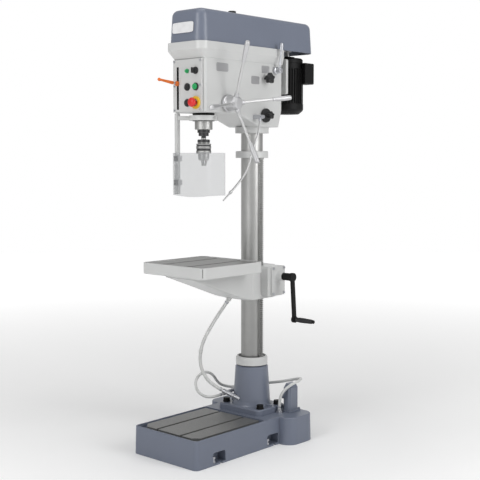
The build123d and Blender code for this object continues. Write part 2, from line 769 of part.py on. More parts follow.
def depth_stop():
    z = stop_z
    rail = block(slot_x - slot_half + slip_gap, slot_x + slot_half - slip_gap,
                 button_y - 1, head_front + 6, z - 14, z + 14)
    head = y_cylinder(11, button_y - 14, button_y - slip_gap, slot_x, z)
    foot = block(slot_x - 11, slot_x + 11, head_front + slip_gap, head_front + 8, z - 14, z + 14)
    body = rail + head + foot
    lean = 7
    lever = Pos(slot_x, button_y - 12, z) * Rot(90 - lean, 0, 0) * Pos(0, 0, 48) * Cylinder(5, 96)
    ball = Pos(slot_x, button_y - 12, z) * Sphere(12)
    length = 96
    tip = Pos(slot_x, button_y - 12 - length * cos(radians(lean)),
              z + length * sin(radians(lean))) * Sphere(8)
    return body + lever + ball + tip


def quill_lock_knob():
    knob = x_cylinder(11, -head_half - 18, -head_half - 1, quill_lock_y, quill_lock_z)
    knob = fillet(knob.faces().sort_by(Axis.X)[0].edges(), 3)
    return knob + x_cylinder(5, -head_half - 2, -quill_r - 2, quill_lock_y, quill_lock_z)


def pulley_tray():
    low = rounded(-head_half, head_half, head_front - 4, tray_rear - 8, 14)
    high = rounded(-tray_half, tray_half, cover_front - 6, tray_rear, 40)
    flare = loft(Sketch() + [Pos(0, 0, head_top) * low, Pos(0, 0, tray_flare_top) * high])
    band = Pos(0, 0, tray_flare_top) * extrude(high, tray_top - tray_flare_top)
    body = flare + band
    room = rounded(-tray_half + 8, tray_half - 8, cover_front + 4, tray_rear - 8, 32)
    body -= Pos(0, 0, tray_flare_top - 6) * extrude(room, tray_top)
    room_low = rounded(-head_half + 14, head_half - 14, head_front + 12, tray_rear - 26, 12)
    body -= Pos(0, 0, head_top + 8) * extrude(room_low, tray_top)
    body -= z_cylinder(drive_r + 14, head_top - 1, head_top + 10, 0, spindle_y)
    stud_y = cover_knob_y
    boss = z_cylinder(14, head_top + 7, head_top + 30, 0, stud_y)
    stud = z_cylinder(5, head_top + 20, cover_top + 18, 0, stud_y)
    nose_bearing = z_cylinder(drive_r + 22, head_top + 7, pulley_bottom - 24, 0, spindle_y)
    nose_bearing -= z_cylinder(drive_r + 10 + run_gap, head_top - 1, tray_top + 40, 0, spindle_y)
    return body + boss + stud + nose_bearing


def belt_cover():
    outline = rounded(-cover_half, cover_half, cover_front, cover_rear, cover_corner)
    height = cover_top - tray_top
    outer = Pos(0, 0, tray_top) * extrude(outline, height, taper=cover_draft)
    outer = fillet(outer.edges().group_by(Axis.Z)[-1], cover_edge)
    room = rounded(-cover_half + cover_wall, cover_half - cover_wall, cover_front + cover_wall,
                   cover_rear - cover_wall, cover_corner - cover_wall)
    inner = Pos(0, 0, tray_top - 1) * extrude(room, height - cover_wall + 1, taper=cover_draft)
    inner = fillet(inner.edges().group_by(Axis.Z)[-1], cover_edge - cover_wall)
    body = outer - inner
    return body - z_cylinder(5 + 1, cover_top - 20, cover_top + 1, 0, cover_knob_y)


def cover_knob():
    z = cover_top
    profile = [(0, z + slip_gap), (9, z + slip_gap), (9, z + 4), (17, z + 7), (18, z + 10),
               (18, z + 17), (15, z + 21), (0, z + 21)]
    body = turned(profile, 0, cover_knob_y)
    return body - z_cylinder(5 + run_gap, z - 1, z + 18 + slip_gap, 0, cover_knob_y)


def quill_nose():
    ring = z_cylinder(nose_r, nose_bottom, head_bottom, 0, spindle_y)
    return ring - z_cylinder(quill_r + 2 * run_gap, nose_bottom - 1, head_bottom + 1, 0, spindle_y)


def quill():
    body = z_cylinder(quill_r, quill_bottom, quill_top, 0, spindle_y)
    body = chamfer(body.edges().group_by(Axis.Z)[0], 2)
    bore = z_cylinder(quill_bore, quill_bottom + 24, quill_top - 24, 0, spindle_y)
    bore += z_cylinder(spindle_r + run_gap, quill_bottom - 1, quill_top + 1, 0, spindle_y)
    body -= bore
    flat_y = spindle_y + feed_flat
    indices = range(-3, int((quill_top - feed_z - 8) // (pi * feed_module)))
    z0 = feed_z - pi * feed_module * 3.5
    body -= block(-feed_width / 2 - 1, feed_width / 2 + 1, flat_y, flat_y + 20, z0 - 2,
                  quill_top + 1)
    spaces = [Pos(0, flat_y, feed_z) * Rot(0, 0, 90) * s
              for s in rack_spaces(feed_module, indices, feed_width + 2)]
    return body - spaces


def spindle():
    return turned([(0, chuck_top - 20), (9, chuck_top - 20), (10.5, chuck_top),
                   (10.5, nut_bottom - 2), (22, nut_bottom - 2), (22, nut_bottom + 12),
                   (nut_r, nut_bottom + 12), (nut_r, quill_bottom - 1),
                   (spindle_r, quill_bottom - 1), (spindle_r, quill_top + 4),
                   (drive_r, quill_top + 4), (drive_r, spindle_top), (0, spindle_top)],
                  0, spindle_y)


def jaw_axis(z, angle):
    """A point on a chuck jaw's slanting axis."""
    r = jaw_tip_offset + (z - jaw_tip_z) * tan(radians(jaw_lean))
    return Vector(r * cos(radians(angle)), spindle_y + r * sin(radians(angle)), z)


def jaw_rod(radius, z0, z1, angle):
    """A rod along one jaw's axis."""
    a, b = jaw_axis(z0, angle), jaw_axis(z1, angle)
    direction = b - a
    return Plane(origin=a, z_dir=direction) * Pos(0, 0, direction.length / 2) * Cylinder(
        radius, direction.length)


def chuck_body():
    core = turned([(0, chuck_bottom), (chuck_core_r - 5, chuck_bottom),
                   (chuck_core_r, chuck_bottom + 8), (chuck_core_r, chuck_shoulder - 4),
                   (chuck_core_r + 2.5, chuck_shoulder), (chuck_core_r + 2.5, chuck_top - 2),
                   (chuck_core_r, chuck_top), (0, chuck_top)], 0, spindle_y)
    core -= turned([(0, chuck_top - 21), (9 + seat_gap, chuck_top - 21), (10.5 + seat_gap, chuck_top),
                    (10.5 + seat_gap, chuck_top + 1), (0, chuck_top + 1)], 0, spindle_y)
    core -= z_cylinder(6.5, chuck_bottom - 1, chuck_sleeve_bottom + 24, 0, spindle_y)
    for k in range(3):
        core -= jaw_rod(jaw_r + run_gap, jaw_tip_z - 4, jaw_top_z + 16, 120 * k + 30)
    return core


def chuck_sleeve():
    r, z0, z1 = chuck_sleeve_r, chuck_sleeve_bottom, chuck_shoulder - 5
    inner = chuck_core_r + run_gap
    body = turned([(inner, z0), (r - 3, z0), (r, z0 + 4), (r, z0 + 14), (r - 1.2, z0 + 14),
                   (r - 1.2, z0 + 22), (r, z0 + 22), (r, z0 + 33), (r - 1.2, z0 + 33),
                   (r - 1.2, z0 + 41), (r, z0 + 41), (r, z1 - 2), (r - 2, z1), (inner, z1)],
                  0, spindle_y)
    return body


def chuck_jaw(k):
    rod = jaw_rod(jaw_r, jaw_tip_z, jaw_top_z, 120 * k + 30)
    return rod


def feed_shaft():
    wheel = gear(feed_module, feed_teeth, feed_width)
    wheel = Pos(0, feed_y(), feed_z) * Rot(0, 90, 0) * Rot(0, 0, 90) * wheel
    shaft = x_cylinder(feed_shaft_r, -50, feed_hub_x1 - 8, feed_y(), feed_z)
    return wheel + shaft


def spoke_placement(k):
    """Puts a +Z rod on the k-th spoke's axis, from the feed hub outwards."""
    phase = spoke_phase + 90 * k
    lean, turn = radians(spoke_lean), radians(phase)
    out = Vector(sin(lean), cos(lean) * cos(turn), cos(lean) * sin(turn))
    return Plane(origin=(spoke_start_x, feed_y(), feed_z), z_dir=out)


def feed_hub():
    x0, x1, r = feed_hub_x0, feed_hub_x1, feed_hub_r
    body = turned_x([(x0, 0), (x0, r + 3), (x0 + 12, r + 3), (x0 + 14, r - 2), (x0 + 22, r - 4),
                     (x1 - 14, r - 4), (x1 - 5, r - 9), (x1, r - 16), (x1, 0)], feed_y(), feed_z)
    for k in range(4):
        stub = spoke_placement(k) * Pos(0, 0, 22) * Cylinder(10, 44)
        body += stub
    for k in range(4):
        body -= spoke_placement(k) * Pos(0, 0, 34) * Cylinder(spoke_r + seat_gap, 30)
    return body - x_cylinder(feed_shaft_r + seat_gap, x0 - 1, x1 - 7, feed_y(), feed_z)


def feed_spokes():
    grip_start = spoke_length - feed_grip_length
    return Compound(children=[
        spoke_placement(k) * Pos(0, 0, (20 + grip_start + 20) / 2) * Cylinder(spoke_r, grip_start)
        for k in range(4)])


def feed_grips():
    z0, z1 = spoke_length - feed_grip_length, spoke_length
    r = feed_grip_r
    group = []
    for k in range(4):
        grip = turned([(0, z0), (spoke_r + 2, z0), (spoke_r + 2.5, z0 + 6), (r, z0 + 40), (r, z1 - 6),
                       (r - 3, z1), (0, z1)])
        grip -= z_cylinder(spoke_r + seat_gap, z0 - 1, z0 + 21)
        group.append(spoke_placement(k) * grip)
    return Compound(children=group)


def stepped_pulley(radii, bore, hub_r, hub_bottom, y):
    """A cone pulley with one V-groove per step, the first radius lowest."""
    z = pulley_bottom
    outline = [(bore, hub_bottom), (hub_r, hub_bottom), (hub_r, z)]
    half = belt_height / 2
    for k, r in enumerate(radii):
        mid = z + pulley_step * (k + 0.5)
        outline += [(r, z + pulley_step * k), (r, mid - half - 1), (r - belt_depth, mid - half + 2),
                    (r - belt_depth, mid + half - 2), (r, mid + half + 1),
                    (r, z + pulley_step * (k + 1))]
    top = z + pulley_step * len(radii)
    outline += [(bore, top)]
    return turned(outline, 0, y)


def spindle_pulley():
    return stepped_pulley(pulley_radii_spindle, drive_r + run_gap, drive_r + 10,
                          head_top - 4, spindle_y)


def motor_pulley():
    return stepped_pulley(pulley_radii_motor, 9.5 + seat_gap, 20, pulley_bottom - 6, motor_y)


def drive_belt():
    front = pulley_radii_spindle[belt_step] - belt_depth + slip_gap
    rear = pulley_radii_motor[belt_step] - belt_depth + slip_gap
    z = pulley_bottom + pulley_step * (belt_step + 0.5)
    thick = belt_depth - 1

    def loop(grow):
        a = Pos(0, spindle_y) * Circle(front + grow)
        b = Pos(0, motor_y) * Circle(rear + grow)
        span = motor_y - spindle_y
        tilt = (front - rear) / span
        c, s = sqrt(1 - tilt**2), tilt
        ra, rb = front + grow, rear + grow
        quad = Polygon((ra * c, spindle_y + ra * s), (rb * c, motor_y + rb * s),
                       (-rb * c, motor_y + rb * s), (-ra * c, spindle_y + ra * s), align=None)
        return a + b + quad

    band = loop(thick) - loop(0)
    height = belt_height - 5
    return Pos(0, 0, z - height / 2) * extrude(band, height)


def motor_plate():
    body = block(-78, 92, plate_y0, plate_y0 + plate_thickness, plate_z0, plate_z1)
    body = fillet(body.edges().filter_by(Axis.Y), 8)
    for x in (-rail_x, rail_x):
        for z in (rail_z0, rail_z1):
            body += y_cylinder(rail_r, column_r + 32, plate_y0 + 4, x, z)
    body += motor_webs(0)
    return body - z_cylinder(motor_r + seat_gap, cowl_bottom, motor_top + 9, 0, motor_y)


def motor_webs(grow):
    """The two webs that carry the motor, grown on all sides."""
    y0, y1 = plate_y0 + plate_thickness - 2, motor_y - motor_r + 6
    webs = Part()
    for z in (plate_z0 + 30, plate_z1 - 34):
        webs += block(-50 - grow, 50 + grow, y0, y1 + 30 * grow, z - 7 - grow, z + 7 + grow)
    return webs


def motor_housing():
    body = z_cylinder(motor_r, motor_bottom, motor_top - 26, 0, motor_y)
    for k in range(36):
        angle = 10 * k
        if 15 < angle < 50:
            continue
        fin = Pos(0, motor_y, (motor_bottom + motor_top - 46) / 2) * Rot(0, 0, angle) * Pos(
            motor_r + motor_fin / 2 - 1, 0, 0) * Box(motor_fin + 2, 2.6, motor_top - 66 - motor_bottom)
        body += fin - motor_webs(slip_gap)
    shield = z_cylinder(motor_r + 3, motor_top - 30, motor_top - 8, 0, motor_y)
    shield = chamfer(shield.edges().group_by(Axis.Z)[-1], 6)
    body += shield
    body += z_cylinder(34, motor_top - 10, motor_top, 0, motor_y)
    room = z_cylinder(motor_r - 14, motor_bottom - 1, motor_top - 36, 0, motor_y)
    room += z_cylinder(12 + run_gap, motor_bottom - 1, motor_top + 1, 0, motor_y)
    return body - room


def fan_cowl():
    """The cowl pushes over the lower end of the motor's housing."""
    r, top = motor_r + motor_fin, motor_bottom + 8
    shell = turned([(0, cowl_bottom), (r - 22, cowl_bottom), (r - 4, cowl_bottom + 14),
                    (r, cowl_bottom + 22), (r, top), (0, top)], 0, motor_y)
    inner = turned([(0, cowl_bottom + 2), (r - 24, cowl_bottom + 2), (r - 6.5, cowl_bottom + 15),
                    (r - 2.5, cowl_bottom + 23), (r - 2.5, motor_bottom - 3),
                    (motor_r + seat_gap, motor_bottom), (motor_r + seat_gap, top + 1), (0, top + 1)],
                   0, motor_y)
    body = shell - inner
    for k in range(8):
        vent = Rot(0, 0, 45 * k) * Pos(28, 0, 0) * Box(34, 5, 12)
        body -= Pos(0, motor_y, cowl_bottom) * vent
    return body


def motor_shaft():
    shaft = z_cylinder(12, motor_bottom - 6, motor_top + 4, 0, motor_y)
    nose = z_cylinder(9.5, motor_top + 3, pulley_bottom + pulley_step * 4 - 2, 0, motor_y)
    core = z_cylinder(motor_r - 22, motor_bottom + 30, motor_top - 60, 0, motor_y)
    fan = z_cylinder(20, motor_bottom - 18, motor_bottom - 6, 0, motor_y)
    blades = []
    for k in range(8):
        blades.append(Pos(0, motor_y, motor_bottom - 12) * Rot(0, 0, 45 * k) * Pos(38, 0, 0)
                      * Box(44, 3, 11))
    return shaft + nose + core + fan + blades


def terminal_box():
    body = block(40, 96, motor_y + 18, motor_y + 84, 1640, 1738)
    body = fillet(body.edges().filter_by(Axis.Y), 7)
    body = chamfer(body.faces().sort_by(Axis.X)[-1].edges(), 3)
    return body - z_cylinder(motor_r + motor_fin + slip_gap, 1500, 1800, 0, motor_y)


def tension_lever():
    x0, x1 = head_half + 2, head_half + 38
    hub = turned_x([(x0, 0), (x0, 17), (x0 + 10, 17), (x0 + 12, 13), (x1 - 3, 13), (x1, 10), (x1, 0)],
                   lever_y, lever_z)
    pin = x_cylinder(6, head_half - 12, x0 + 2, lever_y, lever_z)
    rod = Pos(x0 + 24, lever_y, lever_z) * Rot(0, 6, 0) * z_cylinder(5, 8, 104)
    grip = Pos(x0 + 24, lever_y, lever_z) * Rot(0, 6, 0) * turned(
        [(0, 84), (6, 84), (8.5, 90), (9.5, 112), (7, 120), (0, 123)])
    return hub + pin + rod + grip


def star_head(x0, x1, radius, y, z):
    """A five-lobed hand knob about X."""
    knob = x_cylinder(radius * 0.72, x0, x1, y, z)
    for k in range(5):
        angle = radians(72 * k + 90)
        lobe = x_cylinder(radius * 0.3, x0, x1, y + radius * 0.7 * cos(angle),
                          z + radius * 0.7 * sin(angle))
        knob += lobe
    return knob


def motor_clamp_knob():
    stem = x_cylinder(6, head_half - 12, head_half + 20, clamp_y, clamp_z)
    return stem + star_head(head_half + 18, head_half + 42, 25, clamp_y, clamp_z)


def tap_knob():
    disc = x_cylinder(31.5, head_half + 2, head_half + 12, tap_y, tap_z)
    disc = fillet(disc.faces().sort_by(Axis.X)[-1].edges(), 3)
    stem = x_cylinder(5, head_half - 12, head_half + 3, tap_y, tap_z)
    neck = x_cylinder(9, head_half + 11, head_half + 24, tap_y, tap_z)
    return disc + stem + neck + star_head(head_half + 22, head_half + 44, 18, tap_y, tap_z)


def coolant_fittings():
    """The tap at the head, the pump's outlet, and the two spouts on the foot."""
    x, y, z = nozzle_route[0]
    tap = block(head_half, x + 10, y - 8, y + 12, z + 9, z + 27) + nipple(nozzle_route, 7, 14)
    tap += x_cylinder(7, x + 8, x + 22, y + 2, z + 18)
    x, y, z = supply_route[0]
    outlet = z_cylinder(supply_r + 3, base_height, z, x, y)
    outlet += hexagon(supply_r + 6, base_height, base_height + 8, x, y)
    group = [tap, outlet]
    for route, radius in ((drain_route, drain_r), (supply_route, supply_r)):
        spout = nipple(route[::-1], radius + 2.5, spout_length)
        group.append(spout - column_foot())
    return Compound(children=group)


def coolant_nozzle():
    return hose(nozzle_route, nozzle_r, "coolant_nozzle")


def pump_body():
    hx, hy = pump_half_x, pump_half_y
    flange = block(pump_x - hx - 8, pump_x + hx + 8, pump_y - hy - 6, pump_y + hy + 6,
                   base_height, base_height + 8)
    flange = fillet(flange.edges().filter_by(Axis.Z), 8)
    plan = chamfer(Rectangle(2 * hx, 2 * hy).vertices(), 10)
    body = Pos(pump_x, pump_y, base_height + 7) * extrude(plan, pump_top - base_height - 27)
    dome = Pos(pump_x, pump_y, pump_top - 21) * extrude(plan, 21, taper=28)
    body = flange + body + dome
    cap = x_cylinder(19, pump_x - hx - 20, pump_x - hx + 2, pump_y - 8, base_height + 72)
    cap = chamfer(cap.faces().sort_by(Axis.X)[0].edges(), 4)
    body += cap
    for x in (-1, 1):
        for y in (-1, 1):
            bolt = hexagon(5, base_height + 8, base_height + 14, pump_x + x * (hx + 1),
                           pump_y + y * (hy - 1))
            body += bolt
    return body


def guard_bracket():
    x, y = guard_x, guard_y
    ring = z_cylinder(guard_ring_r, nose_bottom + 2, nose_bottom + 24, 0, spindle_y)
    arm = Plane(origin=((x) / 2, (y + spindle_y) / 2, nose_bottom + 13)) * Rot(
        0, 0, guard_angle()) * Box(guard_reach(), 18, 18)
    post = block(x - 8.5, x + 8.5, y - 8, y + 8, guard_bottom, head_bottom - 1)
    body = ring + arm + post
    body -= z_cylinder(nose_r + run_gap, nose_bottom, nose_bottom + 30, 0, spindle_y)
    screw = x_cylinder(4, guard_ring_r - 3, guard_ring_r + 12, spindle_y, nose_bottom + 13)
    return body + screw


def guard_reach():
    return hypot(guard_x, guard_y - spindle_y)


def guard_angle():
    return degrees(atan2(guard_y - spindle_y, guard_x))


def guard_shield():
    flare = radians(shield_flare)
    left_tip = (shield_left - shield_wing * sin(flare), shield_front + shield_wing * cos(flare))
    path = FilletPolyline(left_tip, (shield_left, shield_front), (shield_right, shield_front),
                          (shield_right, shield_front + shield_wing), radius=12)
    sheet = Pos(0, 0, shield_z0) * extrude(trace(path, shield_thick), shield_z1 - shield_z0)
    bulge = 900
    mid = (shield_left + shield_right) / 2
    lower = y_cylinder(bulge, shield_front - 20, shield_front + 140, mid, shield_z0 + bulge)
    sheet &= lower
    clamps = []
    x, y = guard_x, guard_y
    for z in (shield_z1 - 24, shield_z0 + 60):
        clamp = block(x - 14, x + 14, shield_front + shield_thick / 2, y + 14, z - 12, z + 12)
        clamp -= block(x - 8.5 - run_gap, x + 8.5 + run_gap, y - 8 - run_gap, y + 8 + run_gap,
                       z - 13, z + 13)
        clamps.append(clamp)
    return Compound(children=[*sheet.solids(), *clamps])


os.makedirs("parts", exist_ok=True)
save(base_casting(), "base_casting")
save(levelling_bolts(), "levelling_bolts")
save(column_foot(), "column_foot")
save(foot_bolts(), "foot_bolts")
save(column(), "column")
save(rack_rings(), "rack_rings")
save(rack(), "rack")
save(rack_pinion(), "rack_pinion")
save(table_bracket(), "table_bracket")
save(work_table(), "work_table")
save(gearbox_cover(), "gearbox_cover")
save(gearbox_screws(), "gearbox_screws")
save(worm_shaft(), "worm_shaft")
save(crank_arm(), "crank_arm")
save(crank_grip(), "crank_grip")
save(head_casting(), "head_casting")
save(front_panel(), "front_panel")
save(panel_screws(), "panel_screws")
save(switch_bezels(), "switch_bezels")
save(signal_lamp(), "signal_lamp")
save(push_button(left_column, button_rows[1], 13, 3), "upper_push_button")
save(push_button(right_column, button_rows[1], 13, 6), "start_button")
save(push_button(left_column, button_rows[2], 13, 3), "lower_push_button")
save(estop_button(), "estop_button")
save(selector_knob(), "selector_knob")
save(depth_stop(), "depth_stop")
save(quill_lock_knob(), "quill_lock_knob")
save(pulley_tray(), "pulley_tray")
save(belt_cover(), "belt_cover")
save(cover_knob(), "cover_knob")
save(quill_nose(), "quill_nose")
save(quill(), "quill")
save(spindle(), "spindle")
save(chuck_body(), "chuck_body")
save(chuck_sleeve(), "chuck_sleeve")
for k in range(3):
    save(chuck_jaw(k), f"chuck_jaw_{k + 1}")
save(feed_shaft(), "feed_shaft")
save(feed_hub(), "feed_hub")
save(feed_spokes(), "feed_spokes")
save(feed_grips(), "feed_grips")
save(spindle_pulley(), "spindle_pulley")
save(motor_pulley(), "motor_pulley")
save(drive_belt(), "drive_belt")
save(motor_plate(), "motor_plate")
save(motor_housing(), "motor_housing")
save(fan_cowl(), "fan_cowl")
save(motor_shaft(), "motor_shaft")
save(terminal_box(), "terminal_box")
save(tension_lever(), "tension_lever")
save(motor_clamp_knob(), "motor_clamp_knob")
save(tap_knob(), "tap_knob")
save(coolant_fittings(), "coolant_fittings")
save(coolant_nozzle(), "coolant_nozzle")
save(pump_body(), "pump_body")
save(guard_bracket(), "guard_bracket")
save(guard_shield(), "guard_shield")
save(hose(drain_route, drain_r, "drain_hose"), "drain_hose")
save(hose(supply_route, supply_r, "supply_hose"), "supply_hose")
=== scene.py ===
import bpy
import json
import math
import numpy as np
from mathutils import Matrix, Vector


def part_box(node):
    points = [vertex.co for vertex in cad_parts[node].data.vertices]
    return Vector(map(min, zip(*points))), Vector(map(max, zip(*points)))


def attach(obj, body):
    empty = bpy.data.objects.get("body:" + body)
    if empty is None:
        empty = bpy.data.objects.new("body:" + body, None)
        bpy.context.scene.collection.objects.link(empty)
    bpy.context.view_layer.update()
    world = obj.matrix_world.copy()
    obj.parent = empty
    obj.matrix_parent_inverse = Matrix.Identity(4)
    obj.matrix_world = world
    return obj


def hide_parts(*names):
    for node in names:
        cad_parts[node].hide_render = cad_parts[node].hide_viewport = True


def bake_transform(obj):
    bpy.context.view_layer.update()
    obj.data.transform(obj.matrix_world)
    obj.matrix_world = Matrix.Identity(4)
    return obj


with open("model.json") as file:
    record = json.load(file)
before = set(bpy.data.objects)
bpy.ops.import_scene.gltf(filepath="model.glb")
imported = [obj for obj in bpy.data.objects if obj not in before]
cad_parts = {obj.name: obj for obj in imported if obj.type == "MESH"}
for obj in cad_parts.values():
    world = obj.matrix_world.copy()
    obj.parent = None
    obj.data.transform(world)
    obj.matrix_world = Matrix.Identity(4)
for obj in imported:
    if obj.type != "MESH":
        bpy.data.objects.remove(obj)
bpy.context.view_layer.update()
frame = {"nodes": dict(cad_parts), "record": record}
nodes = frame["nodes"]
slotOf = {part["node"]: part["material_slot"] for part in frame["record"]["subparts"]}
print("frame loaded:", len(nodes), "nodes")

# camera, level with the table and a little to the right of the front

view = {"lens": 72.83, "sensor": 36.0, "place": (2.9626, -3.3465, 1.3033), "turn": (85.05, 0.0, 42.22)}
cameraData = bpy.data.cameras.new("camera")
cameraData.lens = view["lens"]
cameraData.sensor_width = view["sensor"]
camera = bpy.data.objects.new("camera", cameraData)
camera.location = view["place"]
camera.rotation_euler = [math.radians(a) for a in view["turn"]]
bpy.context.scene.collection.objects.link(camera)
bpy.context.scene.camera = camera
bpy.context.scene.view_settings.view_transform = "Standard"


class Port:
    # an output socket that can be used in arithmetic; each operator adds one Math node
    def __init__(self, recipe, socket):
        self.recipe, self.socket = recipe, socket

    def maths(self, operation, *others):
        values = dict(enumerate((self,) + others))
        return self.recipe.add("ShaderNodeMath", {"operation": operation}, values)

    def __add__(self, other):
        return self.maths("ADD", other)

    def __radd__(self, other):
        return self.maths("ADD", other)

    def __mul__(self, other):
        return self.maths("MULTIPLY", other)

    def __rmul__(self, other):
        return self.maths("MULTIPLY", other)

    def __sub__(self, other):
        return self.maths("SUBTRACT", other)

    def __truediv__(self, other):
        return self.maths("DIVIDE", other)

    def __pow__(self, other):
        return self.maths("POWER", other)

    def __gt__(self, other):
        return self.maths("GREATER_THAN", other)

    def __lt__(self, other):
        return self.maths("LESS_THAN", other)

    def __abs__(self):
        return self.maths("ABSOLUTE")

    def __rsub__(self, other):
        return self.recipe.add("ShaderNodeMath", {"operation": "SUBTRACT"}, {0: other, 1: self})

    def held(self):  # kept between 0 and 1
        return self.recipe.add("ShaderNodeMath", {"operation": "ADD", "use_clamp": True}, {0: self, 1: 0.0})


class Sky:
    # a node tree that Port arithmetic can be added to, read by direction
    def __init__(self, tree):
        self.tree = tree
        self.place = self.add("ShaderNodeTexCoord", out="Generated")

    def add(self, kind, settings=None, values=None, out=0):
        node = self.tree.nodes.new(kind)
        for key, value in (settings or {}).items():
            setattr(node, key, value)
        for key, value in (values or {}).items():
            if isinstance(value, Port):
                self.tree.links.new(value.socket, node.inputs[key])
            else:
                node.inputs[key].default_value = value
        return Port(self, node.outputs[out])


class Recipe(Sky):
    # one finish, built round a Principled shader whose steady values are set on its own sockets
    def __init__(self, name, **steady):
        self.material = bpy.data.materials.new(name)
        self.material.use_nodes = True
        self.tree = self.material.node_tree
        self.shader = self.tree.nodes["Principled BSDF"]
        for key, value in steady.items():
            self.shader.inputs[key.replace("_", " ")].default_value = value
        self.place = self.add("ShaderNodeTexCoord", out="Object")

    def axes(self):
        split = self.add("ShaderNodeSeparateXYZ", values={0: self.place})
        return [Port(self, split.socket.node.outputs[i]) for i in range(3)]

    def stretched(self, scale, turn=(0.0, 0.0, 0.0)):
        return self.add("ShaderNodeMapping", values={"Vector": self.place, "Scale": scale, "Rotation": turn})

    def noise(self, scale, detail=3.0, vector=None, rough=0.5):
        return self.add("ShaderNodeTexNoise", values={
            "Vector": vector or self.place, "Scale": scale, "Detail": detail, "Roughness": rough})

    def between(self, colourA, colourB, factor):  # colour A where the factor is 0
        return self.add("ShaderNodeMix", {"data_type": "RGBA"}, {"Factor": factor, 6: colourA, 7: colourB},
                        out=2)

    def edges(self, radius):  # 1 on edges and corners, 0 on flat ground
        soft = self.add("ShaderNodeBevel", {"samples": 4}, {"Radius": radius})
        flat = self.add("ShaderNodeNewGeometry", out="Normal")
        match = self.add("ShaderNodeVectorMath", {"operation": "DOT_PRODUCT"}, {0: soft, 1: flat},
                         out="Value")
        return ((1.0 - match) * 9.0).held(), soft

    def relief(self, height, strength, distance, normal=None):
        values = {"Height": height, "Strength": strength, "Distance": distance}
        if normal:
            values["Normal"] = normal
        return self.add("ShaderNodeBump", values=values)

    def feed(self, **ports):
        for key, port in ports.items():
            self.tree.links.new(port.socket, self.shader.inputs[key.replace("_", " ")])
        return self.material


def shade(colour, amount):
    return tuple(c * amount for c in colour[:3]) + (1.0,)


def enamel(name, colour, peel=0.12, castGrain=0.0, gloss=0.36, sheen=0.25, index=1.5, slotAt=None):
    # sprayed machine enamel: fine orange peel, slow patches, paler rubbed edges
    r = Recipe(name, IOR=index, Coat_Roughness=0.2)
    patches = r.noise(7.0, 4.0)
    fine = r.noise(420.0, 2.0)
    grain = r.noise(130.0, 5.0, rough=0.65)
    edge, soft = r.edges(0.0022)
    rubbed = (edge * (r.noise(60.0, 4.0) * 1.6 - 0.35)).held()
    tone = r.between(shade(colour, 0.93), shade(colour, 1.05), patches)
    tone = r.between(tone, tuple(0.6 * c + sheen for c in colour[:3]) + (1.0,), rubbed * 0.55)
    if slotAt:  # the slot's walls and its narrow rim are black
        x, y, z = r.axes()
        tone = r.between(tone, (0.004, 0.004, 0.004, 1.0),
                         (abs(x - slotAt[0]) < slotAt[1]) * (abs(z - slotAt[2]) < slotAt[3]))
    height = fine * peel + grain * castGrain
    return r.feed(Base_Color=tone, Roughness=gloss + patches * 0.1 + rubbed * 0.12,
                  Coat_Weight=(sheen - rubbed * 0.2).held() if sheen else rubbed * 0.1,
                  Normal=r.relief(height, 0.35, 0.0011, soft))


def steel(name, colour, rough, grain, metallic=0.95, stain=0.25, strength=0.12, footShade=None):
    # turned or ground steel: fine marks along one way, faint patches of oil
    r = Recipe(name, IOR=2.2)
    marks = r.noise(1.0, 3.0, r.stretched(grain), 0.7)
    patches = r.noise(14.0, 4.0)
    edge, soft = r.edges(0.0012)
    tone = r.between(shade(colour, 1.0 - stain), shade(colour, 1.06),
                     (marks * 0.7 + patches * 0.5 - 0.1).held())
    if footShade:  # darker towards the foot: painted shade, standing in for the light falling from above
        low, high, dull = footShade
        x, y, z = r.axes()
        tone = r.between(shade(colour, dull), tone, ((z - low) * (1.0 / (high - low)) + patches * 0.2).held())
    return r.feed(Base_Color=tone,
                  Roughness=(rough + marks * 0.16 + patches * 0.1 - 0.1 - edge * 0.05).held(),
                  Metallic=metallic - patches * 0.08, Normal=r.relief(marks, strength, 0.0004, soft))


def moulded(name, colour, rough=0.42, grain=900.0, depth=0.18):
    # moulded plastic: a fine pebbled grain and faint handling marks
    r = Recipe(name, IOR=1.47)
    pebbles = r.add("ShaderNodeTexVoronoi", {"feature": "SMOOTH_F1"}, {"Vector": r.place, "Scale": grain})
    handled = r.noise(45.0, 5.0)
    edge, soft = r.edges(0.001)
    tone = r.between(shade(colour, 0.85), shade(colour, 1.15), (handled + edge * 0.5).held())
    return r.feed(Base_Color=tone, Roughness=rough + handled * 0.14 - edge * 0.08,
                  Normal=r.relief(pebbles, depth, 0.0003, soft))


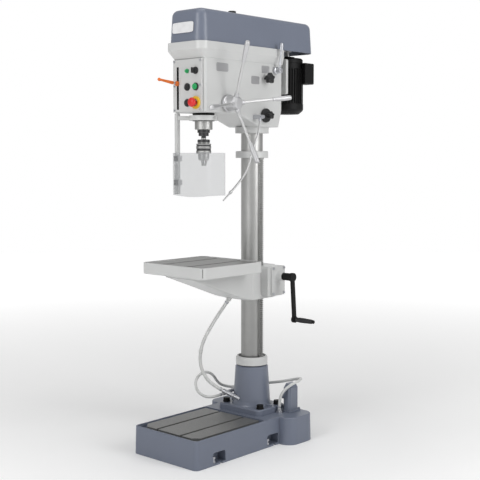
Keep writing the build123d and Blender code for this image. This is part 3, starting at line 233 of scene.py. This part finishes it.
def withMachinedBed(name, colour, low, high, ironColour):
    # a painted casting with a milled face between two corners: cutter marks run across it
    r = Recipe(name, IOR=1.5)
    x, y, z = r.axes()
    inside = ((x > low[0]) * (x < high[0]) * (y > low[1]) * (y < high[1]) * (z > low[2]) * (z < high[2]))
    patches = r.noise(7.0, 4.0)
    fine = r.noise(420.0, 2.0)
    grain = r.noise(130.0, 5.0, rough=0.65)
    cutter = r.add("ShaderNodeTexWave",
                   {"wave_type": "BANDS", "bands_direction": "Y", "wave_profile": "SAW"}, {
        "Vector": r.place, "Scale": 95.0, "Distortion": 1.2, "Detail": 2.0, "Detail Scale": 6.0})
    scuffs = r.noise(1.0, 5.0, r.stretched((16.0, 120.0, 30.0), (0.0, 0.0, 0.3)), 0.7)
    edge, soft = r.edges(0.0022)
    rubbed = (edge * (r.noise(60.0, 4.0) * 1.6 - 0.35)).held()
    paint = r.between(shade(colour, 0.93), shade(colour, 1.05), patches)
    paint = r.between(paint, tuple(0.55 * c + 0.3 for c in colour[:3]) + (1.0,), rubbed * 0.55)
    iron = r.between(shade(ironColour, 0.78), shade(ironColour, 1.2),
                     (cutter * 0.25 + scuffs * 0.6 + edge * 0.5).held())
    tone = r.between(paint, iron, inside)
    rough = (0.36 + patches * 0.1) * (1.0 - inside) + (0.34 + scuffs * 0.25) * inside
    height = (fine * 0.12 + grain * 0.3) * (1.0 - inside) + (cutter * 0.16 + scuffs * 0.25) * inside
    return r.feed(Base_Color=tone, Roughness=rough, Metallic=inside * 0.55,
                  Normal=r.relief(height, 0.35, 0.0011, soft))


def banded(name, colour, dark, heights):
    # turned steel with blued bands between pairs of heights
    r = Recipe(name, IOR=2.2)
    x, y, z = r.axes()
    blued = None
    for low, high in heights:
        inside = (z > low) * (z < high)
        blued = inside if blued is None else blued + inside
    marks = r.noise(1.0, 3.0, r.stretched((30.0, 30.0, 1600.0)), 0.7)
    patches = r.noise(30.0, 4.0)
    edge, soft = r.edges(0.0008)
    bright = r.between(shade(colour, 0.8), shade(colour, 1.08), (marks * 0.6 + patches * 0.4).held())
    tone = r.between(bright, shade(dark, 1.0), (blued - edge * 0.5).held())
    return r.feed(Base_Color=tone, Roughness=0.22 + marks * 0.12 + patches * 0.08 + blued * 0.12,
                  Metallic=0.95 - blued * 0.35,
                  Normal=r.relief(marks, 0.1, 0.0004, soft))


def clearSheet(name):
    # clear polycarbonate: a faint grey film with fine scratches, denser along its sawn edges
    r = Recipe(name, IOR=1.58, Base_Color=(0.86, 0.88, 0.89, 1.0), Specular_IOR_Level=0.6)
    scratch = r.noise(1.0, 4.0, r.stretched((40.0, 40.0, 700.0), (0.2, 0.5, 0.0)), 0.7)
    film = r.noise(9.0, 3.0)
    edge, soft = r.edges(0.002)
    tone = r.between((0.42, 0.43, 0.44, 1.0), (0.50, 0.51, 0.52, 1.0), film)
    x, y, z = r.axes()
    clamp = (x > -0.0990) * (x < -0.0690) * (y > -0.4028) * (y < -0.3770)
    tone = r.between(tone, (0.50, 0.50, 0.505, 1.0), clamp)
    return r.feed(Base_Color=tone, Roughness=0.16 + scratch * 0.10 + clamp * 0.2,
                  Alpha=(0.30 + film * 0.05 + edge * 0.25 + clamp).held(), Normal=r.relief(scratch, 0.03,
                          0.0002, soft))


def hosePvc(name):
    # milky soft tube: slightly clearer in patches, with a dull bloom
    r = Recipe(name, IOR=1.45, Transmission_Weight=0.18, Subsurface_Weight=0.2,
               Subsurface_Radius=(0.01, 0.01, 0.01))
    bloom = r.noise(60.0, 4.0)
    mottled = r.noise(320.0, 2.0)
    tone = r.between((0.60, 0.61, 0.60, 1.0), (0.80, 0.80, 0.79, 1.0), (bloom * 0.8 + mottled * 0.3).held())
    return r.feed(Base_Color=tone, Roughness=0.3 + bloom * 0.2,
                  Normal=r.relief(bloom + mottled * 0.4, 0.12, 0.0006))


def bezelPlastic(name, centre, radius):
    # black moulded rings, with the one round the emergency stop in yellow
    r = Recipe(name, IOR=1.47)
    x, y, z = r.axes()
    dx, dz = x - centre[0], z - centre[1]
    ring = (dx * dx + dz * dz) < radius * radius
    handled = r.noise(45.0, 5.0)
    edge, soft = r.edges(0.001)
    tone = r.between((0.013, 0.013, 0.014, 1.0), (0.75, 0.50, 0.03, 1.0), ring)
    return r.feed(Base_Color=r.between(tone, (0.2, 0.2, 0.2, 1.0), (edge * handled * 0.25).held()),
                  Roughness=0.36 + handled * 0.14, Normal=r.relief(r.noise(900.0, 2.0), 0.15, 0.0003, soft))


blueGrey = (0.150, 0.170, 0.222)
lightGrey = (0.56, 0.565, 0.56)
finishes = {
    "blue_grey": enamel("blueGreyEnamel", blueGrey, castGrain=0.22),
    "light_grey": enamel("lightGreyEnamel", lightGrey, castGrain=0.05),
    "black_paint": enamel("blackEnamel", (0.003, 0.003, 0.0033), castGrain=0.15, gloss=0.5, sheen=0.0,
                          index=1.33),
    "ground_steel": steel("groundSteel", (0.48, 0.48, 0.47), 0.42, (18.0, 18.0, 1500.0), stain=0.14,
                          strength=0.05),
    "bright_steel": steel("turnedSteel", (0.56, 0.56, 0.56), 0.40, (20.0, 20.0, 30.0), stain=0.06,
                          strength=0.0),
    "zinc_steel": steel("zincPlate", (0.56, 0.57, 0.60), 0.33, (90.0, 90.0, 90.0), 0.9, 0.14, 0.03),
    "aluminium": steel("turnedAluminium", (0.54, 0.54, 0.55), 0.44, (60.0, 30.0, 30.0), 0.9, 0.06, 0.01),
    "black_plastic": moulded("blackPlastic", (0.014, 0.014, 0.015)),
    "orange_plastic": moulded("orangePlastic", (0.72, 0.16, 0.02), 0.3),
    "green_plastic": moulded("greenPlastic", (0.015, 0.34, 0.10), 0.22),
    "red_plastic": moulded("redPlastic", (0.62, 0.02, 0.02), 0.26),
    "belt_rubber": moulded("beltRubber", (0.018, 0.018, 0.018), 0.62, 1400.0, 0.3),
    "hose_pvc": hosePvc("hosePvc"),
    "clear_sheet": clearSheet("clearPolycarbonate"),
}
# column and rack steel, painted darker towards the foot as shade
footShadedSteel = steel("columnSteel", (0.56, 0.56, 0.55), 0.36, (18.0, 18.0, 1500.0), stain=0.16, strength=0.06,
                  footShade=(0.25, 1.35, 0.42))
special = {
    "column": footShadedSteel,
    "front_panel": enamel("panelEnamel", lightGrey, castGrain=0.02, slotAt=(-0.062, 0.0062, 1.591, 0.0902)),
    "rack": footShadedSteel,
    "spindle": banded("spindleSteel", (0.50, 0.50, 0.49), (0.012, 0.012, 0.013), [(1.380, 1.4155)]),
    "chuck_body": banded("chuckSteel", (0.50, 0.50, 0.49), (0.02, 0.02, 0.022), [(1.362, 1.3745)]),
    "switch_bezels": bezelPlastic("bezelPlastic", (0.047, 1.528), 0.031),
    "base_casting": withMachinedBed("baseCasting", blueGrey, (-0.1672, -0.5372, 0.09),
                                    (0.1672, -0.1378, 0.13), (0.20, 0.20, 0.197)),
    "work_table": withMachinedBed("workTable", lightGrey, (-0.1818, -0.5108, 0.80),
                                  (0.1818, -0.1392, 0.83845), (0.25, 0.25, 0.245)),
}
for name, thing in nodes.items():
    finish = special.get(name) or finishes[slotOf[name]]
    if not thing.data.materials:
        thing.data.materials.append(finish)
    for slot in thing.material_slots:
        slot.material = finish
print("finishes:", len(finishes) + len(special))

# cords


def route(name, pointsMm):  # the hose's own line: a smooth spline past the given points
    curve = bpy.data.curves.new(name, "CURVE")
    curve.dimensions = "3D"
    spline = curve.splines.new("NURBS")
    spline.points.add(len(pointsMm) - 1)
    spline.points.foreach_set("co", np.c_[np.array(pointsMm) / 1000.0, np.ones(len(pointsMm))].ravel())
    spline.order_u = 3
    spline.use_endpoint_u = True
    curve.resolution_u = 12
    return curve


def lineOf(curve):  # the spline's points in order, read from the curve with no bevel
    holder = bpy.data.objects.new(curve.name + "Line", curve)
    mesh = bpy.data.meshes.new_from_object(holder)
    line = np.empty(len(mesh.vertices) * 3)
    mesh.vertices.foreach_get("co", line)
    bpy.data.objects.remove(holder)
    return line.reshape(-1, 3)


def addMesh(name, rows, closeAcross=True, capStart=False, capEnd=False, smooth=True, flip=False):
    # a grid of points, rows by columns, made into quads; caps are fans to the middle of an end row
    rows = np.asarray(rows, float)
    n, m = rows.shape[:2]
    points = rows.reshape(-1, 3)
    i, j = np.meshgrid(np.arange(n - 1), np.arange(m if closeAcross else m - 1), indexing="ij")
    k = (j + 1) % m
    quads = np.stack([i * m + j, i * m + k, (i + 1) * m + k, (i + 1) * m + j], -1).reshape(-1, 4)
    faces = quads.tolist()
    extra = []
    for want, row, turned in ((capStart, 0, True), (capEnd, n - 1, False)):
        if want:
            middle = len(points) + len(extra)
            extra.append(rows[row].mean(0))
            a = row * m + np.arange(m)
            b = row * m + (np.arange(m) + 1) % m
            fan = np.stack([b, a, np.full(m, middle)] if turned else [a, b, np.full(m, middle)], -1)
            faces += fan.tolist()
    if extra:
        points = np.vstack([points, extra])
    mesh = bpy.data.meshes.new(name)
    if flip:
        faces = [f[::-1] for f in faces]
    mesh.from_pydata(points.tolist(), [], faces)
    mesh.polygons.foreach_set("use_smooth", np.full(len(faces), smooth))
    mesh.update()
    thing = bpy.data.objects.new(name, mesh)
    bpy.context.scene.collection.objects.link(thing)
    return thing


def dress(thing, slot, body, *replaced, finish=None):
    thing.data.materials.append(finish or finishes[slot])
    if body:
        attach(thing, body)
    if replaced:
        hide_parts(*replaced)
    return thing


def tubeAlong(line, radii, sides=24):
    # each ring is radius * (cos u * side + sin u * up) about a point of the line; side and up are
    # carried along it by removing the part that lies on the new direction
    line = np.asarray(line)
    along = np.gradient(line, axis=0)
    along /= np.linalg.norm(along, axis=1)[:, None]
    side = np.cross(along[0], (0.0, 0.0, 1.0) if abs(along[0][2]) < 0.9 else (1.0, 0.0, 0.0))
    acrosses = []
    for direction in along:
        side = side - direction * (side @ direction)
        side = side / np.linalg.norm(side)
        acrosses.append(side)
    across = np.array(acrosses)
    up = np.cross(along, across)
    u = np.linspace(0, 2 * np.pi, sides, endpoint=False)
    radii = np.broadcast_to(np.asarray(radii, float), len(line))[:, None, None]
    ring = np.cos(u)[None, :, None] * across[:, None] + np.sin(u)[None, :, None] * up[:, None]
    return line[:, None] + radii * ring


def lengthOf(line):
    return float(np.linalg.norm(np.diff(line, axis=0), axis=1).sum())


supply = {"radius": 0.0065, "points": [
    (144, 30, 140), (144, 30, 166), (150, 28, 196), (163, 34, 226), (182, 52, 250), (196, 82, 264),
    (195, 119, 269), (177, 149, 269), (142, 170, 259), (95, 173, 245), (51, 151, 233), (2, 136, 224),
    (-50, 122, 213), (-98, 96, 202), (-143, 66, 192), (-182, 25, 194), (-195, -23, 217), (-184, -71, 272),
    (-192, -112, 290), (-199, -154, 277), (-195, -180, 245), (-175, -184, 207), (-142, -165, 184),
    (-113, -125, 184), (-104, -86, 192)]}
supplyCurve = route("supplyHose", supply["points"])
supplyLine = lineOf(supplyCurve)
supplyCurve.bevel_depth = supply["radius"]
supplyCurve.bevel_resolution = 8
supplyHose = bpy.data.objects.new("supplyHose", supplyCurve)
bpy.context.scene.collection.objects.link(supplyHose)
dress(supplyHose, "hose_pvc", "stand", "supply_hose")

drain = {"radius": 0.008, "jointHeight": 0.402, "sleeve": 0.0095, "points": [
    (-45, -113, 644), (-64, -124, 610), (-90, -140, 566), (-118, -156, 512), (-146, -168, 458),
    (-166, -172, 402), (-174, -168, 350), (-168, -158, 300), (-146, -143, 258), (-112, -126, 231),
    (-80, -112, 217)]}
drainLine = lineOf(route("drainLine", drain["points"]))
split = int(np.argmin(np.abs(drainLine[:, 2] - drain["jointHeight"])))
upperLine, lowerLine = drainLine[:split + 1], drainLine[split:]
upperHose = dress(addMesh("drainHoseUpper", tubeAlong(upperLine, drain["radius"]), capStart=True,
                          capEnd=True),
                  "hose_pvc", None, "drain_hose")
lowerHose = dress(addMesh("drainHoseLower", tubeAlong(lowerLine, drain["radius"]), capStart=True,
                          capEnd=True),
                  "hose_pvc", None, "drain_hose")
sleeveLine = drainLine[split - 3:split + 4]
bulge = drain["radius"] + (drain["sleeve"] - drain["radius"]) * np.array([0.1, 0.8, 1, 1, 1, 0.8, 0.1])
hoseSleeve = dress(addMesh("hoseSleeve", tubeAlong(sleeveLine, bulge), capStart=True, capEnd=True),
                   "hose_pvc", "rack")
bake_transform(upperHose)
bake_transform(lowerHose)
print("cords: supply %.3f m, drain %.3f m" % (lengthOf(supplyLine), lengthOf(drainLine)))

# turned and moulded pieces


def softened(profile, passes=2):
    # corner cutting: each pass puts two points on every run, a quarter in from its ends
    p = np.asarray(profile, float)
    for _ in range(passes):
        near, far = 0.75 * p[:-1] + 0.25 * p[1:], 0.25 * p[:-1] + 0.75 * p[1:]
        p = np.vstack([p[:1], np.stack([near, far], 1).reshape(-1, 2), p[-1:]])
    return p


def spun(name, stations, origin, along, across, lobes=0, depth=0.0, sides=48, span=None, smooth=True):
    # at height t each ring is r * (1 - depth/2 + depth/2 * cos(lobes * u)) about the axis;
    # span limits the lobes to heights between two values, with a soft run in and out
    t, radius = np.asarray(stations, float).T
    along, across = np.array(along, float), np.array(across, float)
    other = np.cross(along, across)
    u = np.linspace(0, 2 * np.pi, sides, endpoint=False)
    weight = np.ones(len(t)) if span is None else np.clip(np.minimum(t - span[0], span[1] - t) / 0.0008, 0, 1)
    swell = 1 - weight[:, None] * depth / 2 * (1 - np.cos(lobes * u))[None]
    out = np.cos(u)[:, None] * across + np.sin(u)[:, None] * other
    rings = np.array(origin) + t[:, None, None] * along + (radius[:, None] * swell)[..., None] * out[None]
    return addMesh(name, rings, capStart=True, capEnd=True, smooth=smooth)


crankGripSize = {"y": 0.031, "z": 0.568, "start": 0.237, "profile": [
    (0, 0.0058), (0, 0.0088), (0.002, 0.0104), (0.012, 0.0106), (0.014, 0.0098), (0.016, 0.0107), (0.03,
            0.0119),
    (0.05, 0.0113), (0.072, 0.0104), (0.088, 0.0103), (0.094, 0.0092), (0.0958, 0.0072), (0.096, 0.0056)]}
g = crankGripSize
dress(spun("crankGrip", softened(g["profile"]), (g["start"], g["y"], g["z"]), (1, 0, 0), (0, 1, 0)),
      "black_plastic", "crank_grip", "crank_grip")

feed = {"start": (0.140, -0.268, 1.527), "lean": 21.8, "phase": 7.0, "profile": [
    (0.183, 0.0062), (0.183, 0.0082), (0.185, 0.0088), (0.190, 0.0086), (0.192, 0.0080), (0.194,
            0.0086), (0.205, 0.0094),
    (0.223, 0.0108), (0.245, 0.0110), (0.266, 0.0108), (0.272, 0.0098), (0.2745, 0.0070), (0.275, 0.0030)]}
for k in range(4):
    lean, turn = math.radians(feed["lean"]), math.radians(feed["phase"] + 90 * k)
    out = (math.sin(lean), math.cos(lean) * math.cos(turn), math.cos(lean) * math.sin(turn))
    across = Vector((0.0, -math.sin(turn), math.cos(turn)))
    dress(spun("feedGrip%d" % (k + 1), softened(feed["profile"]), feed["start"], out, across),
          "aluminium", "feed", "feed_grips")

coverKnob = {"place": (0.0, -0.134, 1.921), "profile": [
    (0.0003, 0.0058), (0.0003, 0.0088), (0.004, 0.0092), (0.0065, 0.0162), (0.008, 0.0178), (0.0175,
            0.0178), (0.0190, 0.0168),
    (0.0208, 0.0148), (0.0209, 0.0120), (0.0196, 0.0100), (0.0194, 0.0030)]}
dress(spun("coverKnob", softened(coverKnob["profile"]), coverKnob["place"], (0, 0, 1), (1, 0, 0),
           lobes=30, depth=0.07, sides=240, span=(0.0068,
                                                  0.0188)), "black_plastic", "cover_knob", "cover_knob")

starKnobs = {
    "motorClampKnob": {"place": (0.0, -0.020, 1.648), "depth": 0.30, "radius": 0.025, "head": (0.113, 0.137),
                       "stem": [(0.083, 0.0059),
                                (0.113, 0.0059)], "body": "motor_clamp", "node": "motor_clamp_knob"},
    "tapKnob": {"place": (0.0, -0.019, 1.484), "depth": 0.30, "radius": 0.018, "head": (0.117, 0.139),
                "stem": [(0.083, 0.0048), (0.097, 0.0048), (0.0972, 0.0300), (0.0985, 0.0314),
                         (0.1045, 0.0314),
                         (0.1065, 0.0300), (0.107, 0.0280), (0.107, 0.0088), (0.117, 0.0088)],
                "body": "tap", "node": "tap_knob"}}
for name, knob in starKnobs.items():
    x0, x1, big = knob["head"][0], knob["head"][1], knob["radius"]
    head = [(x0, big * 0.55), (x0 + 0.001, big * 0.9), (x0 + 0.004, big), (x1 - 0.005, big),
            (x1 - 0.001, big * 0.88),
            (x1, big * 0.6), (x1 - 0.0004, big * 0.42), (x1 - 0.003, big * 0.34), (x1 - 0.003, 0.001)]
    dress(spun(name, np.vstack([softened(knob["stem"], 1), softened(head)]), knob["place"], (1, 0, 0),
               (0, 0, 1),
               lobes=5, depth=knob["depth"], sides=120, span=(x0 - 0.0002, x1 + 0.01)),
          "black_plastic", knob["body"], knob["node"])

panelFace = -0.410
switches = {
    "upperButtonCap": {"place": (-0.003, 1.595), "radius": 0.0128, "reach": None, "slot": "black_plastic",
                       "body": "upper_button", "node": "upper_push_button"},
    "startButtonCap": {"place": (0.047, 1.595), "radius": 0.0128, "reach": None, "slot": "green_plastic",
                       "body": "start_button", "node": "start_button"},
    "lowerButtonCap": {"place": (-0.003, 1.528), "radius": 0.0128, "reach": None, "slot": "black_plastic",
                       "body": "lower_button", "node": "lower_push_button"}}
for name, cap in switches.items():
    low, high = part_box(cap["node"])
    reach, big = panelFace - low[1], min((high[0] - low[0]) / 2, (high[2] - low[2]) / 2) - 0.0001
    profile = [(-0.028, 0.0078), (0.0044, 0.0078), (0.005, 0.0080), (0.005, big), (reach - 0.002, big),
               (reach - 0.0002, big * 0.92),
               (reach - 0.0003, big * 0.8), (reach - 0.0018, big * 0.55), (reach - 0.0022, 0.0008)]
    dress(spun(name, softened(profile), (cap["place"][0], panelFace, cap["place"][1]), (0, -1, 0), (0, 0, 1)),
          cap["slot"], cap["body"], cap["node"])

estop = {"place": (0.047, panelFace, 1.528), "profile": [
    (-0.028, 0.0078), (0.0066, 0.0078), (0.009, 0.0080), (0.0094, 0.0118), (0.0155, 0.0128), (0.0195,
            0.0165), (0.0218, 0.0198),
    (0.0250, 0.0200), (0.0290, 0.0194), (0.0335, 0.0165), (0.0365, 0.0110), (0.0372, 0.0100), (0.0366,
            0.0088),
    (0.0370, 0.0070), (0.0379, 0.0010)]}
dress(spun("emergencyStop", softened(estop["profile"]), estop["place"], (0, -1, 0), (0, 0, 1), sides=64),
      "red_plastic", "estop", "estop_button")

# the depth stop: a steel stub in a tapered orange lever, on a carriage that fills the slot
stop = {"place": (-0.062, -0.422, 1.612), "lean": 7.0, "width": 0.0094, "depth": (-0.411, -0.394),
        "tall": 0.028,
        "lever": [(0.016, 0.0052), (0.016, 0.0066), (0.019, 0.0074), (0.026, 0.0072), (0.060, 0.0058),
                  (0.088, 0.0050),
                  (0.092, 0.0056), (0.096, 0.0074), (0.101, 0.0070), (0.1035, 0.0042), (0.104, 0.0010)],
        "stub": [(-0.002, 0.0010), (-0.002, 0.0048), (0.018, 0.0048)],
        "boss": [(-0.0115, 0.0090), (-0.0115, 0.0108), (-0.0040, 0.0108), (-0.0010, 0.0096),
                 (0.0025, 0.0084), (0.0035, 0.0060),
                 (0.0036, 0.0010)]}
lean = math.radians(stop["lean"])
tilted = (0.0, -math.cos(lean), math.sin(lean))
dress(spun("depthLever", softened(stop["lever"]), stop["place"], tilted, (1, 0, 0)), "orange_plastic",
      "depth_stop", "depth_stop")
dress(spun("depthStub", stop["stub"], stop["place"], tilted, (1, 0, 0)), "zinc_steel", "depth_stop",
      "depth_stop")
dress(spun("depthBoss", softened(stop["boss"]), stop["place"], (0, -1, 0), (0, 0, 1)), "orange_plastic",
      "depth_stop", "depth_stop")
sx, sz = stop["place"][0], stop["place"][2]
corners = np.array([(-0.5, -0.5), (0.5, -0.5), (0.5, 0.5), (-0.5, 0.5)]) * (stop["width"], stop["tall"])
carriage = [np.c_[sx + corners[:, 0] * grow, np.full(4, y), sz + corners[:, 1] * rise]
            for y, grow, rise in ((stop["depth"][0], 0.9, 0.96), (stop["depth"][0] + 0.0005, 1.0, 1.0),
                                  (-0.4016, 1.0, 1.0),
                                  (-0.4016, 2.3, 1.0), (stop["depth"][1], 2.3, 1.0))]
dress(addMesh("depthCarriage", carriage, capStart=True, capEnd=True, smooth=False, flip=True),
      "black_plastic",
      "depth_stop", "depth_stop")

lamp = {"place": (-0.003, panelFace, 1.662), "profile": [
    (-0.025, 0.0058), (0.0001, 0.0058), (0.0001, 0.0098), (0.004, 0.0098), (0.005, 0.0090), (0.0052,
            0.0084), (0.009, 0.0078),
    (0.0118, 0.0062), (0.0136, 0.0036), (0.014, 0.0008)]}
dress(spun("lampLens", softened(lamp["profile"]), lamp["place"], (0, -1, 0), (0, 0, 1), lobes=20, depth=0.05,
           sides=160, span=(0.0052, 0.0125)), "green_plastic", "stand", "signal_lamp")

# knurled bands on the chuck's sleeve: the grooves between them stay smooth
chuck = {"place": (0.0, -0.316, 1.312), "radius": 0.0325, "bore": 0.02455, "height": 0.044}
rim, top = chuck["radius"], chuck["height"]
bands = [(0, chuck["bore"]), (0, rim - 0.003), (0.0005, rim - 0.0024), (0.0035, rim), (0.0135, rim),
         (0.014, rim - 0.0014),
         (0.022, rim - 0.0014), (0.0225, rim), (0.0325, rim), (0.033, rim - 0.0014), (0.0385, rim - 0.0014),
         (0.039, rim), (top - 0.0015, rim), (top, rim - 0.0018), (top, chuck["bore"])]
t = np.array([b[0] for b in bands])
u = np.linspace(0, 2 * np.pi, 384, endpoint=False)
ribs = np.clip(np.sin(96 * u), -0.2, 0.8) * 0.00055
onBand = (np.array([b[1] for b in bands]) > rim - 0.0005).astype(float)
radii = np.array([b[1] for b in bands])[:, None] - 0.0004 * onBand[:, None] + ribs[None] * onBand[:, None]
rings = np.stack([radii * np.cos(u), radii * np.sin(u), np.broadcast_to(t[:, None], radii.shape)],
                 -1) + np.array(chuck["place"])
rings = np.concatenate([rings, rings[:1]])
sleeveSteel = banded("sleeveSteel", (0.46, 0.46, 0.455), (0.035, 0.035, 0.037),
                     [(1.326, 1.3345), (1.345, 1.351)])
dress(addMesh("knurledSleeve", rings), "ground_steel", "chuck_sleeve", "chuck_sleeve", finish=sleeveSteel)
print("turned pieces ready")

# the bent coolant pipe, its collar and its drawn-down tip
pipe = {"radius": 0.0045, "points": [(128, -92, 1457), (128, -92, 1424), (125, -118, 1366), (121, -138, 1310),
                                     (115, -150, 1262), (104, -168, 1218), (90, -202, 1175), (76, -238,
                                             1136), (64, -262, 1108)]}
pipeLine = lineOf(route("pipeLine", pipe["points"]))
gone = np.r_[0, np.cumsum(np.linalg.norm(np.diff(pipeLine, axis=0), axis=1))]
total = gone[-1]
radii = np.interp(gone, [0, total - 0.045, total - 0.035, total - 0.003, total],
                  np.array([1.0, 1.0, 0.80, 0.62, 0.55]) * pipe["radius"])
dress(addMesh("coolantPipe", tubeAlong(pipeLine, radii), capStart=True, capEnd=True), "bright_steel",
      "nozzle",
      "coolant_nozzle")


def band(name, line, at, radius, width, slot, body):
    # a flat ring round a hose or pipe, square to its line
    here = int(np.argmin(np.abs(np.r_[0, np.cumsum(np.linalg.norm(np.diff(line, axis=0), axis=1))] - at)))
    along = line[min(here + 1, len(line) - 1)] - line[max(here - 1, 0)]
    along = along / np.linalg.norm(along)
    across = np.cross(along, (0.0, 1.0, 0.0))
    across = across / np.linalg.norm(across)
    profile = [(-width / 2, radius - 0.001), (-width / 2, radius + 0.0008),
               (-width / 2 + 0.0006, radius + 0.0013),
               (width / 2 - 0.0006, radius + 0.0013), (width / 2, radius + 0.0008), (width / 2,
                       radius - 0.001)]
    return dress(spun(name, profile, line[here], along, across), slot, body)


band("pipeCollar", pipeLine, total - 0.052, pipe["radius"] + 0.0012, 0.012, "bright_steel", "nozzle")
band("outletClamp", supplyLine, 0.012, supply["radius"], 0.008, "zinc_steel", "stand")
band("returnClamp", supplyLine, lengthOf(supplyLine) - 0.012, supply["radius"], 0.008, "zinc_steel", "stand")
band("tableClamp", drainLine, 0.012, drain["radius"], 0.009, "zinc_steel", "table")
band("footClamp", drainLine, lengthOf(drainLine) - 0.012, drain["radius"], 0.009, "zinc_steel", "stand")


def labelPlate(name, middle, right, up, width, height, thick, body, finish):
    # a blank plate: a squared-off ellipse |x|^8 + |y|^8 = 1, stepped in at its rim
    u = np.linspace(0, 2 * np.pi, 96, endpoint=False)
    right, up = np.array(right, float), np.array(up, float)
    out = np.cross(right, up)
    wide = np.sign(np.cos(u)) * np.abs(np.cos(u)) ** 0.25 * width / 2
    tall = np.sign(np.sin(u)) * np.abs(np.sin(u)) ** 0.25 * height / 2
    rows = [(0.0, 0.0), (thick * 0.7, 0.0), (thick, thick * 0.4), (thick, 0.0018), (thick * 0.75, 0.0024),
            (thick * 0.75, 0.004)]
    rings = [np.array(middle) + lift * out + (1 - 2 * inset / width) * wide[:, None] * right
             + (1 - 2 * inset / height) * tall[:, None] * up for lift, inset in rows]
    return dress(addMesh(name, rings, capEnd=True), "light_grey", body, finish=finish)


whitePlate = moulded("whiteLabelPlate", (0.72, 0.72, 0.73), 0.3, 1600.0, 0.05)
greyPlate = steel("printedLabelPlate", (0.36, 0.36, 0.37), 0.42, (300.0, 300.0, 300.0), 0.5, 0.1)
low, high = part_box("belt_cover")
labelPlate("coverPlate", (-0.0035, low[1] + 0.0004, 1.8415), (1, 0, -0.0), (0, 0.0627, 0.998), 0.124,
           0.045, 0.0016, "cover", whitePlate)
labelPlate("pictogramPlate", (0.0949, -0.298, 1.680), (0, 1, 0), (0, 0, 1), 0.074, 0.036, 0.0012, "stand",
           greyPlate)
labelPlate("ratingPlate", (0.0949, -0.0175, 1.6885), (0, 1, 0), (0, 0, 1), 0.053, 0.031, 0.0012, "stand",
           greyPlate)
labelPlate("speedPlate", (0.0949, -0.0855, 1.6375), (0, 1, 0), (0, 0, 1), 0.055, 0.035, 0.0012, "stand",
           greyPlate)
print("fittings and plates ready")

# light and floor

studio = {"front": 0.35, "back": 1.0, "sideKey": 62.0, "frontKey": 58.0, "top": 40.0,
          "floor": (0.86, 0.86, 0.86)}
world = bpy.data.worlds.new("studio")
bpy.context.scene.world = world
world.use_nodes = True
sky = Sky(world.node_tree)
backdrop = sky.add("ShaderNodeVectorMath", {"operation": "DOT_PRODUCT"},
                   {0: sky.place, 1: (-0.66, 0.75, 0.0)}, out="Value")
glow = ((backdrop - 0.80) * 10.0).held()
world.node_tree.links.new((studio["front"] + glow * (studio["back"] - studio["front"])).socket,
                          world.node_tree.nodes["Background"].inputs["Strength"])
world.node_tree.nodes["Background"].inputs["Color"].default_value = (1.0, 1.0, 1.0, 1.0)


def softbox(name, place, target, size, energy):
    data = bpy.data.lights.new(name, "AREA")
    data.shape = "RECTANGLE"
    data.size, data.size_y, data.energy = size[0], size[1], energy
    lamp = bpy.data.objects.new(name, data)
    lamp.location = place
    lamp.rotation_euler = (Vector(target) - Vector(place)).to_track_quat("-Z", "Y").to_euler()
    bpy.context.scene.collection.objects.link(lamp)


softbox("sideLight", (3.6, 0.3, 2.5), (0.0, -0.2, 1.2), (1.6, 2.6), studio["sideKey"])
softbox("frontLight", (0.2, -3.8, 2.6), (0.0, -0.2, 1.2), (1.6, 2.6), studio["frontKey"])
softbox("topLight", (0.4, -0.4, 4.6), (0.0, -0.2, 0.5), (3.0, 3.0), studio["top"])
u = np.linspace(0, 2 * np.pi, 64, endpoint=False)
rings = np.array([0.02, 1.0, 3.0, 9.0])[:, None, None] * np.stack([np.cos(u), np.sin(u), 0 * u], -1)[None]
floor = addMesh("floor", rings, capStart=True, smooth=False, flip=True)
r = Recipe("paleFloor", IOR=1.4)
dust = r.noise(3.0, 4.0)
x, y, z = r.axes()
# the floor glows faintly near the machine and brighter with distance: painted light that whitens the far
# floor
far = (((x * x + y * y) ** 0.5 - 0.7) / 4.5).held()
r.shader.inputs["Emission Strength"].default_value = 1.0
floor.data.materials.append(r.feed(Base_Color=r.between(shade(studio["floor"], 0.98),
                                                        shade(studio["floor"], 1.02), dust),
                                   Roughness=0.75 + dust * 0.1,
                                   Emission_Color=r.between((0.09, 0.09, 0.09, 1), (0.68, 0.68, 0.68, 1),
                                           far)))
print("studio ready")
